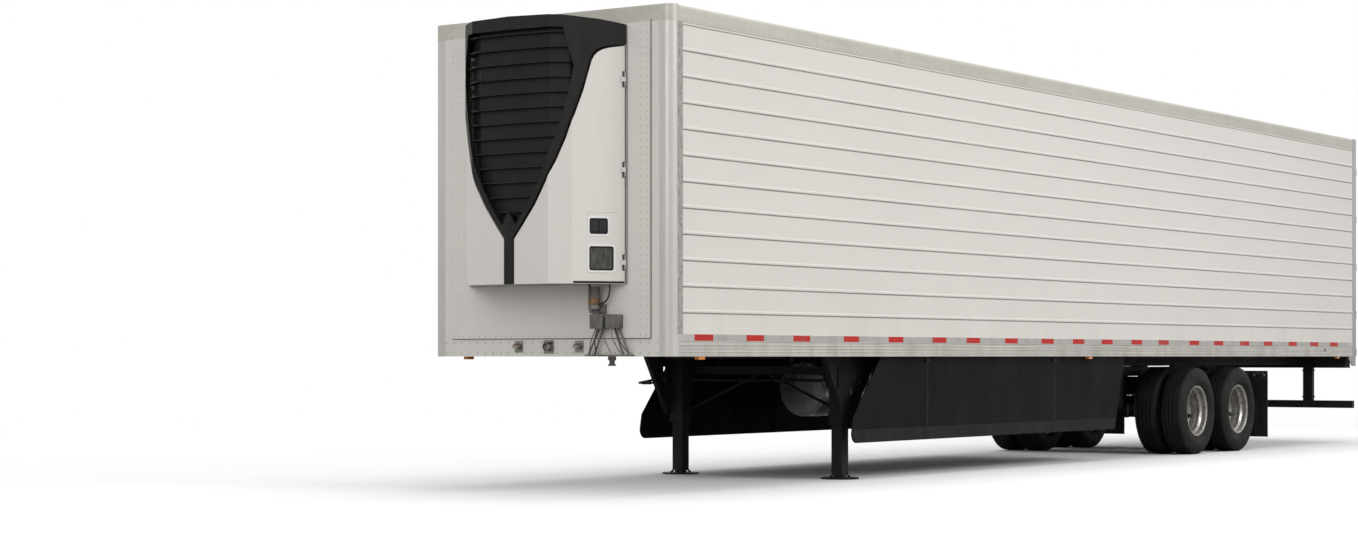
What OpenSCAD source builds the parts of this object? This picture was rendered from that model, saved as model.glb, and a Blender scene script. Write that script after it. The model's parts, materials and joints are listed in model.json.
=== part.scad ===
// Refrigerated van semi trailer, parked on its landing legs and its sliding tandem.
// Frame: +Z up, the nose faces -Y, +X is the trailer's left side.
// Origin: on the ground, at the middle of the overall length and width. Millimetres.

/* [Van body] */
// Length of the van body, nose to rear frame
trailer_l = 16154; // [14600:1:17000]
// Overall width
trailer_w = 2591; // [2440:1:2700]
// Overall height above the ground
trailer_h = 4115; // [3700:1:4400]
// Thickness of the insulated side walls
side_t = 60; // [40:1:90]
// Thickness of the insulated front wall
front_t = 100; // [80:1:160]
// Thickness of the roof panel
roof_t = 85; // [50:1:110]
// Thickness of the floor above its cross members
floor_t = 130; // [80:1:160]
// Number of raised beads along each side wall
bead_count = 11; // [6:1:14]
// Height of the bottom rails
rail_h = 190; // [170:1:240]
// Height of the top rails
top_rail_h = 150; // [100:1:200]
// Radius of the upright front corners
corner_r = 80; // [50:1:95]

/* [Rear doors] */
// Depth of the rear door frame along the trailer
rear_frame_d = 120; // [100:1:160]
// Thickness of each rear door
door_t = 90; // [50:1:95]
// Hinges on each rear door
door_hinge_count = 4; // [3:1:5]
// Diameter of the lock rods
lock_rod_d = 27; // [20:1:34]

/* [Refrigeration unit] */
// Depth of the unit in front of the nose
unit_d = 560; // [500:1:640]
// Half width of the unit at the nose
unit_half_w = 843; // [780:1:900]
// Height of the unit's underside above the ground
unit_z = 1770; // [1700:1:1850]
// Gap between the top of the unit and the top of the van body
unit_drop = 105; // [60:1:200]

/* [Landing gear] */
// Distance of the legs behind the nose
leg_s = 3300; // [3000:1:3600]
// Distance of each leg from the centre line
leg_x = 920; // [850:1:980]
// Side of the square outer leg tube
leg_tube = 150; // [120:1:170]
// Length of the round foot plates
foot_d = 360; // [260:1:420]

/* [Sliding tandem] */
// Distance of the middle of the tandem from the rear of the van body
tandem_rear = 4654; // [4500:1:5000]
// Distance between the two axles
axle_gap = 1245; // [1220:1:1320]
// Outer radius of the tyres
tyre_r = 515; // [490:1:520]
// Gap between the tops of the tyres and the bottom rails
tyre_room = 130; // [100:1:190]
// Width of each tyre
tyre_w = 282; // [260:1:290]
// Distance of each dual pair's middle from the centre line
dual_x = 984; // [975:1:995]
// Distance between the two tyres of a dual pair
dual_gap = 335; // [325:1:345]
// Radius of the round axle tubes
axle_r = 63.5; // [55:0.5:70]
// Distance of the slider rails from the centre line
slider_x = 500; // [470:1:520]

/* [Side skirts] */
// Start of the skirts' lower edge behind the nose
skirt_s = 3020; // [2900:1:3300]
// Gap between the end of the skirts' upper edge and the middle of the tandem
skirt_gap = 2515; // [2460:1:3500]
// Height of the skirts' lower edge above the ground
skirt_z = 350; // [250:1:450]

/* [Hidden] */
$fn = 48;

// Clearances
seat_gap = 0.3;       // between a piece and the running seat that carries it
pin_gap = 0.1;        // radial, between a hinge or axle pin and its bore
move_gap = 8;         // between a moving piece and what it passes
joint_gap = 0.5;      // between like pieces of one node that meet end to end

// Ends, underside and running gear of the van body
bumper_d = 60;
half_w = trailer_w / 2;
rail_z = 2 * tyre_r + tyre_room;
tandem_s = trailer_l - tandem_rear;
skirt_end_s = tandem_s - skirt_gap;
nose_y = -(trailer_l + bumper_d - unit_d) / 2;
rear_y = nose_y + trailer_l;
rear_in_y = rear_y - rear_frame_d;

// Side wall and rail section, outermost to innermost
sheet_inset = 8;
bead_h = 6;
bead_w = 30;
in_half_w = half_w - sheet_inset - side_t;

// Floor levels
rail_flange = 6;
rail_foot_w = 60;
beam_h = 100;
beam_z = rail_z + rail_flange;
floor_z = beam_z + beam_h;
deck_z = floor_z + floor_t;
wall_z = rail_z + rail_h;
top_rail_z = trailer_h - top_rail_h;
roof_edge_drop = 10;
ceiling_z = trailer_h - roof_t;

// Front wall
post_w = 132;
bolster_h = 156;
panel_proud = 25;
panel_half_w = 1080;

// Rear frame
frame_post_w = 100;
header_z = trailer_h - 130;
door_z0 = deck_z + move_gap;
door_z1 = header_z - move_gap;
door_edge_x = half_w - frame_post_w - move_gap;
door_mid_gap = 6;
hinge_r = 11;
hinge_pin_r = 7;
hinge_x = half_w - hinge_r - 1;
hinge_y = rear_y + 24;
hinge_h = 90;
strap_l = 260;
strap_w = 60;
strap_t = 8;
strap_lift = 5.5;

// ---------------------------------------------------------------- helpers

function at(s) = nose_y + s;

// Points of an arc about [cx, cy]
function arc(cx, cy, r, from, to, n = 8) =
  [for (i = [0:n]) let (a = from + (to - from) * i / n) [cx + r * cos(a), cy + r * sin(a)]];

// Points of a cubic curve from a to d, without its last point
function curve(a, b, c, d, n = 8) =
  [for (i = [0:n - 1]) let (t = i / n, u = 1 - t)
    u * u * u * a + 3 * u * u * t * b + 3 * u * t * t * c + t * t * t * d];

// A 2D shape in X and Z, drawn out along Y
module along_y(y0, y1) translate([0, y1, 0]) rotate([90, 0, 0]) linear_extrude(y1 - y0) children();

// A 2D shape in Y and Z, drawn out along X
module along_x(x0, x1) translate([x0, 0, 0]) rotate([90, 0, 90]) linear_extrude(x1 - x0) children();

// The children and their mirror image on the other side
module both_sides() {
  children();
  mirror([1, 0, 0]) children();
}

// A box given by its low and high corners
module block(low, high) translate(low) cube(high - low);

// A round bar between two points
module bar(from, to, r) {
  d = to - from;
  length = norm(d);
  translate(from)
    rotate([0, acos(d[2] / length), atan2(d[1], d[0])]) cylinder(r = r, h = length);
}

// ---------------------------------------------------------------- van body

floor_groove_pitch = 60;
floor_groove_w = 26;
floor_groove_d = 30;

module cargo_floor() {
  grooves = floor(2 * in_half_w / floor_groove_pitch) - 1;
  first_x = -floor_groove_pitch * (grooves - 1) / 2;
  color("silver")
    along_y(at(front_t), rear_in_y)
      difference() {
        translate([-in_half_w, floor_z]) square([2 * in_half_w, floor_t]);
        for (i = [0:grooves - 1])
          translate([first_x + i * floor_groove_pitch - floor_groove_w / 2, deck_z - floor_groove_d])
            square([floor_groove_w, floor_groove_d + 1]);
      }
}

beam_pitch = 305;
beam_flange_w = 62;
beam_flange_t = 6;
beam_web_t = 5;
coupler_end_s = 1500;

// An I-beam across the trailer, centred on y
module cross_beam(y)
  along_x(-in_half_w, in_half_w)
    translate([y, beam_z]) {
      translate([-beam_flange_w / 2, 0]) square([beam_flange_w, beam_flange_t]);
      translate([-beam_web_t / 2, 0]) square([beam_web_t, beam_h]);
      translate([-beam_flange_w / 2, beam_h - beam_flange_t]) square([beam_flange_w, beam_flange_t]);
    }

module cross_members() {
  first_y = at(coupler_end_s) + beam_pitch / 2;
  count = floor((rear_in_y - first_y) / beam_pitch);
  color("dimgray") for (i = [0:count]) cross_beam(first_y + i * beam_pitch);
}

coupler_plate_t = 8;
coupler_half_w = in_half_w - rail_foot_w - joint_gap;
coupler_channel_w = 120;
kingpin_s = 914;

module coupler_plate()
  color("dimgray") {
    y0 = at(front_t);
    y1 = at(coupler_end_s) - 20;
    difference() {
      union() {
        block([-coupler_half_w, y0, rail_z], [coupler_half_w, y1, rail_z + coupler_plate_t]);
        for (k = [0:4])
          translate([0, y0 + k * (y1 - y0 - coupler_channel_w / 2) / 4, 0])
            block([-coupler_half_w, 0, rail_z], [coupler_half_w, coupler_channel_w / 2, floor_z]);
        both_sides() block([360, y0, rail_z], [360 + coupler_channel_w / 2, y1, floor_z]);
      }
      translate([0, at(kingpin_s), rail_z - 1]) cylinder(r = kingpin_head_r + pin_gap, h = 120);
    }
  }

// Standard 2 inch kingpin
kingpin_neck_r = 25.4;
kingpin_upper_r = 36.5;
kingpin_flange_r = 35.7;
kingpin_flange_h = 14.3;
kingpin_neck_h = 35.7;
kingpin_upper_h = 34;
kingpin_head_r = 80;

module kingpin()
  color("gray")
    translate([0, at(kingpin_s), rail_z - kingpin_upper_h - kingpin_neck_h - kingpin_flange_h]) {
      cylinder(r = kingpin_flange_r, h = kingpin_flange_h);
      cylinder(r = kingpin_neck_r, h = kingpin_flange_h + kingpin_neck_h);
      translate([0, 0, kingpin_flange_h + kingpin_neck_h])
        cylinder(r = kingpin_upper_r, h = kingpin_upper_h + coupler_plate_t);
      translate([0, 0, kingpin_flange_h + kingpin_neck_h + kingpin_upper_h])
        cylinder(r = kingpin_head_r, h = 60);
    }

module front_wall()
  color("gainsboro") {
    post_x = half_w - post_w;
    block([-post_x, at(0), rail_z], [post_x, at(front_t), top_rail_z]);
    block([-panel_half_w, at(-panel_proud), rail_z + bolster_h], [panel_half_w, at(1), top_rail_z]);
  }

// Plan of a rounded front corner, reaching from x_in outwards
function corner_plan(x_in) = concat(
  [[x_in, at(front_t)], [x_in, at(0)]],
  arc(half_w - corner_r, at(corner_r), corner_r, -90, 0),
  [[half_w, at(front_t)]]);

module corner_posts()
  color("gainsboro")
    both_sides()
      translate([0, 0, rail_z]) linear_extrude(top_rail_z - rail_z) polygon(corner_plan(half_w - post_w));

// Outline of one side wall, in X and Z, with its raised beads
bead_low_gap = 191;
bead_top_gap = 226;
bead_pitch = (top_rail_z - wall_z - bead_low_gap - bead_top_gap) / (bead_count - 1);

function wall_bead(z) = [
  [half_w - sheet_inset, z - bead_w / 2],
  [half_w - sheet_inset + bead_h * 0.7, z - bead_w * 0.36],
  [half_w - sheet_inset + bead_h, z - bead_w * 0.14],
  [half_w - sheet_inset + bead_h, z + bead_w * 0.14],
  [half_w - sheet_inset + bead_h * 0.7, z + bead_w * 0.36],
  [half_w - sheet_inset, z + bead_w / 2]];

module side_wall()
  along_y(at(front_t), rear_in_y)
    polygon(concat(
      [[in_half_w, wall_z], [half_w - sheet_inset, wall_z]],
      [for (i = [0:bead_count - 1]) each wall_bead(wall_z + bead_low_gap + i * bead_pitch)],
      [[half_w - sheet_inset, top_rail_z], [in_half_w, top_rail_z]]));

module side_wall_left() color("gainsboro") side_wall();

module side_wall_right() color("gainsboro") mirror([1, 0, 0]) side_wall();

top_rail_round = 28;
top_rail_inset = 3;

module top_rails()
  color("darkgray") {
    edge_z = trailer_h - roof_edge_drop;
    both_sides()
      along_y(at(front_t) + joint_gap, rear_in_y)
        polygon(concat(
          [[in_half_w, edge_z], [in_half_w, top_rail_z], [half_w - top_rail_inset, top_rail_z]],
          arc(half_w - top_rail_inset - top_rail_round, edge_z - top_rail_round, top_rail_round, 0, 90)));
    translate([0, 0, top_rail_z])
      linear_extrude(edge_z - top_rail_z)
        polygon(concat(
          [[-half_w, at(front_t)]],
          arc(-half_w + corner_r, at(corner_r), corner_r, 180, 270),
          arc(half_w - corner_r, at(corner_r), corner_r, -90, 0),
          [[half_w, at(front_t)]]));
  }

module roof()
  color("whitesmoke")
    along_y(at(front_t), rear_in_y)
      polygon([[-in_half_w, ceiling_z], [in_half_w, ceiling_z], [in_half_w, trailer_h - roof_edge_drop],
               [0, trailer_h], [-in_half_w, trailer_h - roof_edge_drop]]);

// Outline of a bottom rail: flutes outside, a flange inwards that carries the cross members
rail_flute_d = 4;
rail_lip_h = 14;
rail_tape_h = 60;

module bottom_rails()
  color("silver")
    both_sides()
      along_y(at(front_t), rear_in_y) {
        flutes = 4;
        flute_z0 = rail_z + rail_lip_h;
        pitch = (rail_h - rail_lip_h - rail_tape_h) / flutes;
        polygon(concat(
          [[in_half_w - rail_foot_w, rail_z], [half_w, rail_z], [half_w, flute_z0]],
          [for (i = [0:flutes - 1], p = [[-rail_flute_d, 0.08], [-rail_flute_d, 0.72], [0, 0.85]])
            [half_w + p[0], flute_z0 + (i + p[1]) * pitch]],
          [[half_w, wall_z], [in_half_w, wall_z], [in_half_w, beam_z], [in_half_w - rail_foot_w, beam_z]]));
      }

// ---------------------------------------------------------------- rear frame and doors

// Heights of the door hinges
function door_hinge_z(i) =
  door_z0 + (door_z1 - door_z0) * (i + 0.5) / door_hinge_count;

rod_r = lock_rod_d / 2;
rod_lift = 32;
rod_x = [850, 260];
keeper_h = 60;
keeper_t = 8;

module rear_frame()
  color("lightgray") {
    difference() {
      block([-half_w, rear_in_y, rail_z], [half_w, rear_y, trailer_h - roof_edge_drop]);
      block([-half_w + frame_post_w, rear_in_y - 1, deck_z], [half_w - frame_post_w, rear_y + 1, header_z]);
    }
    both_sides() {
      corner_gusset();
      for (i = [0:door_hinge_count - 1]) hinge_butt(door_hinge_z(i));
      for (x = rod_x) {
        keeper(x, deck_z - 70);
        keeper(x, header_z + 15);
      }
    }
  }

// A plate under each rear lower corner, along the bottom rail
gusset_t = 12;
gusset_h = 130;
gusset_l = 250;

module corner_gusset()
  along_x(half_w - 6 - gusset_t, half_w - 6)
    polygon([[rear_y, rail_z + 1], [rear_in_y + 1, rail_z + 1], [rear_in_y + 1, rail_z],
             [rear_y - gusset_l, rail_z], [rear_y - gusset_l, rail_z - 35],
             [rear_in_y, rail_z - gusset_h], [rear_y, rail_z - gusset_h]]);

// The fixed half of a door hinge: a plate on the post, two barrels and the pin
module hinge_butt(z)
  translate([0, 0, z]) {
    barrel_h = hinge_h / 3 - 1;
    for (k = [-1, 1])
      translate([0, 0, k * hinge_h / 3 - barrel_h / 2]) {
        translate([hinge_x, hinge_y, 0]) cylinder(r = hinge_r, h = barrel_h);
        block([hinge_x - hinge_r, rear_y - 1, 0], [hinge_x + hinge_r * 0.8, hinge_y, barrel_h]);
      }
    translate([hinge_x, hinge_y, -hinge_h / 2]) cylinder(r = hinge_pin_r, h = hinge_h);
  }

// A pair of lugs beside the end of a lock rod
module keeper(x, z)
  for (k = [-1, 1])
    translate([x + k * (rod_r + move_gap + keeper_t / 2) - keeper_t / 2, rear_y - 1, z])
      cube([keeper_t, rod_lift + rod_r, keeper_h]);

// The moving half of a door hinge: a barrel and a strap that reaches over the post
module hinge_strap(z) {
  barrel_h = hinge_h / 3 - 1;
  strap_end = door_edge_x - strap_l;
  difference() {
    union() {
      translate([hinge_x, hinge_y, z - barrel_h / 2]) cylinder(r = hinge_r, h = barrel_h);
      block([hinge_x - hinge_r, rear_y + strap_lift, z - barrel_h / 2], [hinge_x, hinge_y, z + barrel_h / 2]);
      block([door_edge_x - 20, rear_y + strap_lift, z - barrel_h / 2],
            [hinge_x - hinge_r + 1, rear_y + strap_lift + strap_t, z + barrel_h / 2]);
      block([strap_end, rear_y - 1, z - strap_w / 2], [door_edge_x - 15, rear_y + strap_lift + strap_t, z + strap_w / 2]);
    }
    translate([hinge_x, hinge_y, z - hinge_h]) cylinder(r = hinge_pin_r + pin_gap, h = 2 * hinge_h);
  }
}

module rear_door() {
  block([door_mid_gap, rear_y - door_t, door_z0], [door_edge_x, rear_y, door_z1]);
  for (i = [0:door_hinge_count - 1]) hinge_strap(door_hinge_z(i));
}

module door_left() color("whitesmoke") rear_door();

module door_right() color("whitesmoke") mirror([1, 0, 0]) rear_door();

// Lock rods with their guides and handles
rod_guide_z = [0.06, 0.36, 0.64, 0.94];
handle_z = 1950;
handle_l = 250;

module door_locks() {
  y = rear_y + rod_lift;
  for (x = rod_x) {
    translate([x, y, deck_z - 55]) cylinder(r = rod_r, h = header_z - deck_z + 110);
    for (f = rod_guide_z)
      translate([x, 0, door_z0 + f * (door_z1 - door_z0)])
        block([-45, rear_y, -25], [45, y + rod_r + 3, 25]);
    side = x > rod_x[1] ? -1 : 1;
    translate([x + side * handle_l / 2, y, handle_z]) cube([handle_l, 12, 34], center = true);
    translate([x + side * (handle_l - 35), rear_y + rod_lift / 2, handle_z])
      cube([50, rod_lift, 65], center = true);
  }
}

module door_left_locks() color("silver") door_locks();

module door_right_locks() color("silver") mirror([1, 0, 0]) door_locks();

module dock_bumpers()
  color("black")
    both_sides() block([1020, rear_y, rail_z + 4], [1280, rear_y + bumper_d, rail_z + 104]);

lamp_r = 50;
lamp_proud = 14;

rear_lamp_x = [620, 745, 870];

module header_lamp(x)
  block([x - 40, rear_y, header_z + 85], [x + 40, rear_y + lamp_proud, header_z + 109]);

module rear_lamps() {
  color("red")
    both_sides() {
      for (x = rear_lamp_x)
        translate([x, rear_y, rail_z + 80]) rotate([-90, 0, 0]) cylinder(r = lamp_r, h = lamp_proud);
      for (x = [160, 1190]) header_lamp(x);
    }
  color("red") header_lamp(0);
}

// Small lamps hung under the bottom rails
marker_s = [450, trailer_l / 2 - 127, trailer_l - 654];

module marker_lamps()
  color("orange")
    both_sides()
      for (s = marker_s)
        block([half_w - 50, at(s) - 45, rail_z - 26], [half_w - 6, at(s) + 45, rail_z]);

// ---------------------------------------------------------------- rear guard

guard_z = 460;
guard_h = 100;
guard_half_w = 1283;
guard_beam_half_w = 1225;
guard_post_x = 660;
guard_beam_drop = 155;

module rear_guard()
  color("black") {
    y1 = rear_y - 40;
    block([-guard_half_w, y1 - 90, guard_z], [guard_half_w, y1, guard_z + guard_h]);
    block([-guard_beam_half_w, y1 - 170, rail_z - guard_beam_drop], [guard_beam_half_w, y1, rail_z]);
    both_sides()
      block([guard_post_x - 65, y1 - 90, guard_z + guard_h + joint_gap],
            [guard_post_x + 65, y1 - 10, rail_z - guard_beam_drop - joint_gap]);
  }

// ---------------------------------------------------------------- landing gear

leg_foot_t = 14;
leg_split_z = 520;
inner_tube = 116;
mount_plate_t = 14;
leg_top_z = beam_z - mount_plate_t;
wing_t = 8;

module landing_legs()
  color("dimgray")
    both_sides()
      translate([leg_x, at(leg_s), 0]) {
        cylinder(d = foot_d, h = leg_foot_t);
        translate([0, 0, leg_foot_t]) cylinder(d = inner_tube, h = 40);
        block([-inner_tube / 2, -inner_tube / 2, 40], [inner_tube / 2, inner_tube / 2, leg_split_z + 5]);
        block([-leg_tube / 2, -leg_tube / 2, leg_split_z], [leg_tube / 2, leg_tube / 2, leg_top_z]);
      }

// Wing plates outside the legs, cross braces between them, the shaft and the crank
wing_top_front = 470;
wing_top_back = 560;
wing_foot = 110;
wing_z = 590;
crank_z = rail_z - 230;
crank_arm = 260;

module wing_plate(x) {
  difference() {
    along_x(x, x + wing_t)
      polygon([[at(leg_s - wing_top_front), beam_z], [at(leg_s + wing_top_back), beam_z],
               [at(leg_s + wing_foot), wing_z], [at(leg_s - wing_foot), wing_z]]);
    along_x(x - 1, x + wing_t + 1) {
      translate([at(leg_s + 60), 830]) circle(r = 36);
      translate([at(leg_s - 190), 860]) square([36, 200]);
      translate([at(leg_s + 210), 900]) square([30, 130]);
    }
  }
  along_x(x, x + 45)
    polygon([[at(leg_s - wing_top_front), beam_z], [at(leg_s - wing_top_front + 10), beam_z],
             [at(leg_s - wing_foot + 10), wing_z], [at(leg_s - wing_foot), wing_z]]);
}

module landing_braces()
  color("dimgray") {
    x0 = leg_x + leg_tube / 2;
    x1 = leg_x - leg_tube / 2;
    crank_x = half_w - 60;
    y = at(leg_s) + leg_tube / 2;
    both_sides() {
      wing_plate(x0);
      block([x0 - 320, at(leg_s - wing_top_front), leg_top_z],
            [x0 + wing_t, at(leg_s + wing_top_back), beam_z]);
      bar([x1 + 20, y + 15, 640], [-40, y + 15, 1030], 14);
    }
    block([-leg_x, y, 985], [leg_x, y + 8, 1065]);
    bar([-x1, at(leg_s), crank_z], [x1, at(leg_s), crank_z], 14);
    translate([-x0 - 60, at(leg_s), crank_z]) rotate([0, 90, 0]) cylinder(r = 45, h = 60);
    bar([-crank_x, at(leg_s), crank_z], [-x0, at(leg_s), crank_z], 12);
    bar([-crank_x, at(leg_s), crank_z], [-crank_x, at(leg_s - crank_arm), crank_z - 30], 12);
    bar([-crank_x, at(leg_s - crank_arm + 5), crank_z - 30],
        [-x0 - 40, at(leg_s - crank_arm + 5), crank_z - 30], 11);
  }

// ---------------------------------------------------------------- side skirts

skirt_t = 8;
skirt_x = half_w - 84;
skirt_corner_r = 90;
skirt_struts = 7;

module skirt() {
  along_x(skirt_x, skirt_x + skirt_t)
    polygon(concat(
      [[at(skirt_end_s), rail_z], [at(skirt_s + 545), rail_z], [at(skirt_s + 30), 590]],
      arc(at(skirt_s + skirt_corner_r), skirt_z + skirt_corner_r, skirt_corner_r, 180, 270),
      [[at(skirt_end_s - 280), skirt_z]]));
  first = skirt_s + 900;
  pitch = (skirt_end_s - 500 - first) / (skirt_struts - 1);
  x = skirt_x - joint_gap;
  for (i = [0:skirt_struts - 1]) {
    y = at(first + i * pitch);
    along_y(y, y + 45)
      polygon([[x - 5, 560], [x - 5, 610], [skirt_x - strut_reach + 60, rail_z - 3],
               [skirt_x - strut_reach + 10, rail_z - 3]]);
    block([skirt_x - strut_reach, y, rail_z - 6], [x, y + 45, rail_z]);
    block([x - 7, y, skirt_z + 60], [x, y + 45, rail_z - 5]);
  }
}

module skirt_left() color("black") skirt();

module skirt_right() color("black") mirror([1, 0, 0]) skirt();

// ---------------------------------------------------------------- nose, inside and unit

module air_bulkhead()
  color("white") {
    y = at(front_t);
    spacer_d = 75;
    block([-950, y + spacer_d, deck_z + 60], [950, y + spacer_d + 12, ceiling_z - 180]);
    for (x = [-900, -320, 260, 840])
      block([x, y, deck_z + 60], [x + 60, y + spacer_d - joint_gap, ceiling_z - 180]);
  }

unit_back_y = -panel_proud;
unit_plate_t = 12;
unit_plate_y = unit_back_y - unit_plate_t;
unit_top_z = trailer_h - unit_drop;
unit_skin_t = 20;
unit_seam = 14;
unit_mid_gap = 55;
unit_hinge_r = 9;
unit_hinge_pin_r = 5;
unit_hinge_h = 120;
unit_hinge_x = unit_half_w + 4;
unit_hinge_y = unit_plate_y - 12;
unit_hinge_zs = [for (h = [180, 960, 1720]) unit_z + h];
unit_door_back_y = unit_plate_y - 10;
unit_hinge_pocket = 16;
unit_cap_proud = 10;
unit_cap_in = 18;
unit_side_w = 272;
unit_side_y = -unit_d + 140;

// Plan of the unit's left half, from the wall to the middle; d moves it inwards
function unit_plan(d, back_y) = [
  [unit_half_w - d * 1.2, back_y],
  [unit_half_w - unit_side_w - d * 0.8, unit_side_y + d * 0.6],
  [unit_half_w - 440 - d * 0.4, -unit_d + unit_cap_proud + 18 + d],
  [0, -unit_d + unit_cap_proud + d]];

function reversed(points) = [for (i = [len(points) - 1:-1:0]) points[i]];

// Plan of a skin of thickness t, set in by d
module unit_skin_plan(d, t, back_y)
  translate([0, nose_y]) polygon(concat(unit_plan(d, back_y), reversed(unit_plan(d + t, back_y))));

// The whole plan of the left half, set in by d
module unit_body_plan(d, back_y)
  translate([0, nose_y]) polygon(concat([[0, back_y]], unit_plan(d, back_y)));

// Upper edge of the unit's doors, from the hinge to the middle, in X and Z
unit_knee = [unit_half_w - 180, unit_top_z - 425];
unit_door_shoulder = curve([unit_half_w + 20, unit_top_z - 235], [unit_half_w - 90, unit_top_z - 262],
                           [unit_half_w - 160, unit_top_z - 250], unit_knee);
unit_door_sweep = curve(unit_knee, [unit_half_w - 260, unit_top_z - 960],
                        [unit_half_w - 420, unit_top_z - 1500], [0, unit_top_z - 1900]);
unit_door_edge = [for (p = concat(unit_door_shoulder, unit_door_sweep)) if (p[0] > unit_mid_gap + 5) p];
unit_door_low_z = unit_top_z - 1860;

module unit_window(u, z, w, h) {
  plan = unit_plan(0, unit_door_back_y);
  turn = atan2(plan[1][1] - plan[0][1], plan[1][0] - plan[0][0]);
  translate([plan[0][0], nose_y + plan[0][1], z])
    rotate([0, 0, turn]) block([u, -9, 0], [u + w, 20, h]);
}

module unit_hinge_leaf(z) {
  barrel_h = unit_hinge_h / 3 - 1;
  difference() {
    union() {
      translate([unit_hinge_x, nose_y + unit_hinge_y, z - barrel_h / 2])
        cylinder(r = unit_hinge_r, h = barrel_h);
      block([unit_half_w - 16, nose_y + unit_hinge_y - unit_hinge_pocket - 12, z - barrel_h / 2],
            [unit_hinge_x, nose_y + unit_hinge_y, z + barrel_h / 2]);
    }
    translate([unit_hinge_x, nose_y + unit_hinge_y, z - unit_hinge_h])
      cylinder(r = unit_hinge_pin_r + pin_gap, h = 2 * unit_hinge_h);
  }
}

module unit_door() {
  difference() {
    intersection() {
      translate([0, 0, unit_z]) linear_extrude(unit_top_z - unit_z)
        unit_skin_plan(0, unit_skin_t, unit_door_back_y);
      along_y(at(-unit_d - 50), at(0))
        polygon(concat([[unit_mid_gap, unit_z], [unit_half_w + 20, unit_z]],
                       unit_door_edge, [[unit_mid_gap, unit_door_low_z]]));
    }
    for (z = unit_hinge_zs)
      block([unit_half_w - 60, at(unit_hinge_y - unit_hinge_pocket), z - unit_hinge_h / 2 - move_gap],
            [unit_half_w + 10, at(0), z + unit_hinge_h / 2 + move_gap]);
  }
  for (z = unit_hinge_zs) unit_hinge_leaf(z);
}

module unit_door_left()
  color("gainsboro")
    difference() {
      unit_door();
      unit_window(142, unit_z + 410, 174, 145);
      unit_window(92, unit_z + 105, 226, 215);
    }

module unit_door_right() color("gainsboro") mirror([1, 0, 0]) unit_door();

module unit_frame()
  color("dimgray") {
    plate_half_w = unit_half_w + 15;
    block([-plate_half_w, at(unit_plate_y), unit_z], [plate_half_w, at(unit_back_y), unit_top_z - 70]);
    both_sides() {
      translate([0, 0, unit_z]) linear_extrude(30) unit_body_plan(unit_skin_t + 10, unit_plate_y + 1);
      block([500, at(-330), unit_z + 29], [540, at(-290), unit_top_z - 60]);
      for (z = unit_hinge_zs) unit_hinge_butt(z);
    }
  }

module unit_hinge_butt(z) {
  barrel_h = unit_hinge_h / 3 - 1;
  translate([unit_hinge_x, nose_y, z]) {
    for (k = [-1, 1])
      translate([0, 0, k * unit_hinge_h / 3 - barrel_h / 2]) {
        translate([0, unit_hinge_y, 0]) cylinder(r = unit_hinge_r, h = barrel_h);
        block([-unit_hinge_r, unit_hinge_y, 0], [unit_hinge_r, unit_plate_y + 1, barrel_h]);
      }
    translate([0, unit_hinge_y, -unit_hinge_h / 2]) cylinder(r = unit_hinge_pin_r, h = unit_hinge_h);
  }
}

// The dark cap: a crowned top whose front narrows to a strip between the doors
unit_grille_top_z = unit_top_z - 95;
unit_cap_band = 75;

module unit_cap_half() {
  strip_x = unit_mid_gap - move_gap;
  intersection() {
    union() {
      translate([0, 0, unit_z]) linear_extrude(unit_top_z + 20 - unit_z)
        unit_skin_plan(-unit_cap_proud, unit_cap_proud + unit_cap_in, unit_plate_y);
      translate([0, 0, unit_top_z - 60]) linear_extrude(80) unit_body_plan(-unit_cap_proud, unit_plate_y);
    }
    along_y(at(-unit_d - 50), at(0))
      difference() {
        polygon(concat(
          [[0, unit_z], [0, unit_top_z + 18], [unit_half_w * 0.6, unit_top_z + 6],
           [unit_half_w * 0.85, unit_top_z - 22], [unit_half_w + 30, unit_top_z - 64]],
          [for (p = unit_door_edge) [p[0] - unit_seam * 0.8, p[1] + unit_seam]],
          [[strip_x, unit_door_low_z + unit_seam], [strip_x, unit_z]]));
        unit_grille_opening(0);
      }
  }
}

// Front view of the grille's opening in the cap, made larger all round by edge
module unit_grille_opening(edge)
  polygon(concat(
    [[-1, unit_grille_top_z + edge], [unit_half_w - 330 + edge, unit_grille_top_z + edge]],
    [for (p = unit_door_sweep) if (p[0] > unit_cap_band + 20) [p[0] - unit_cap_band + edge, p[1]]],
    [[-1, unit_top_z - 1620 - edge]]));

module unit_cap() color("black") both_sides() unit_cap_half();

unit_louvre_pitch = 125;
unit_louvre_t = 10;

module unit_grille()
  color("black") {
    louvres = floor((unit_grille_top_z - unit_top_z + 1600) / unit_louvre_pitch);
    both_sides()
      intersection() {
        union() {
          translate([0, 0, unit_z]) linear_extrude(unit_top_z - unit_z) unit_skin_plan(70, 6, unit_plate_y - 40);
          for (i = [0:louvres])
            translate([0, 0, unit_grille_top_z - 40 - i * unit_louvre_pitch])
              linear_extrude(unit_louvre_t)
                unit_skin_plan(unit_cap_in + seat_gap, 54, unit_plate_y);
        }
        along_y(at(-unit_d - 50), at(0)) unit_grille_opening(25);
      }
  }

module engine_block()
  color("slategray")
    block([-450, at(-400), unit_z + 30], [450, at(-120), unit_z + 760]);

// Service box, filter and cable conduits on the nose below the unit
module unit_fittings()
  color("gray") {
    y = at(-panel_proud);
    block([540, y - 110, 1395], [670, y, 1520]);
    block([690, y - 90, 1400], [810, y, 1515]);
    block([660, y - 60, 1420], [700, y, 1490]);
    block([480, y - 40, 1530], [640, y, 1600]);
    translate([560, y - 75, 1560]) cylinder(r = 48, h = 190);
    block([535, y - 70, 1510], [585, y, 1570]);
    block([430, at(-60), rail_z + 4], [910, at(0), rail_z + 16]);
    for (end = [[455, 600], [885, 760], [520, 640], [820, 720]])
      bar([end[0], y - 14, rail_z + 12], [end[1], y - 20, 1450], 8);
  }

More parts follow.
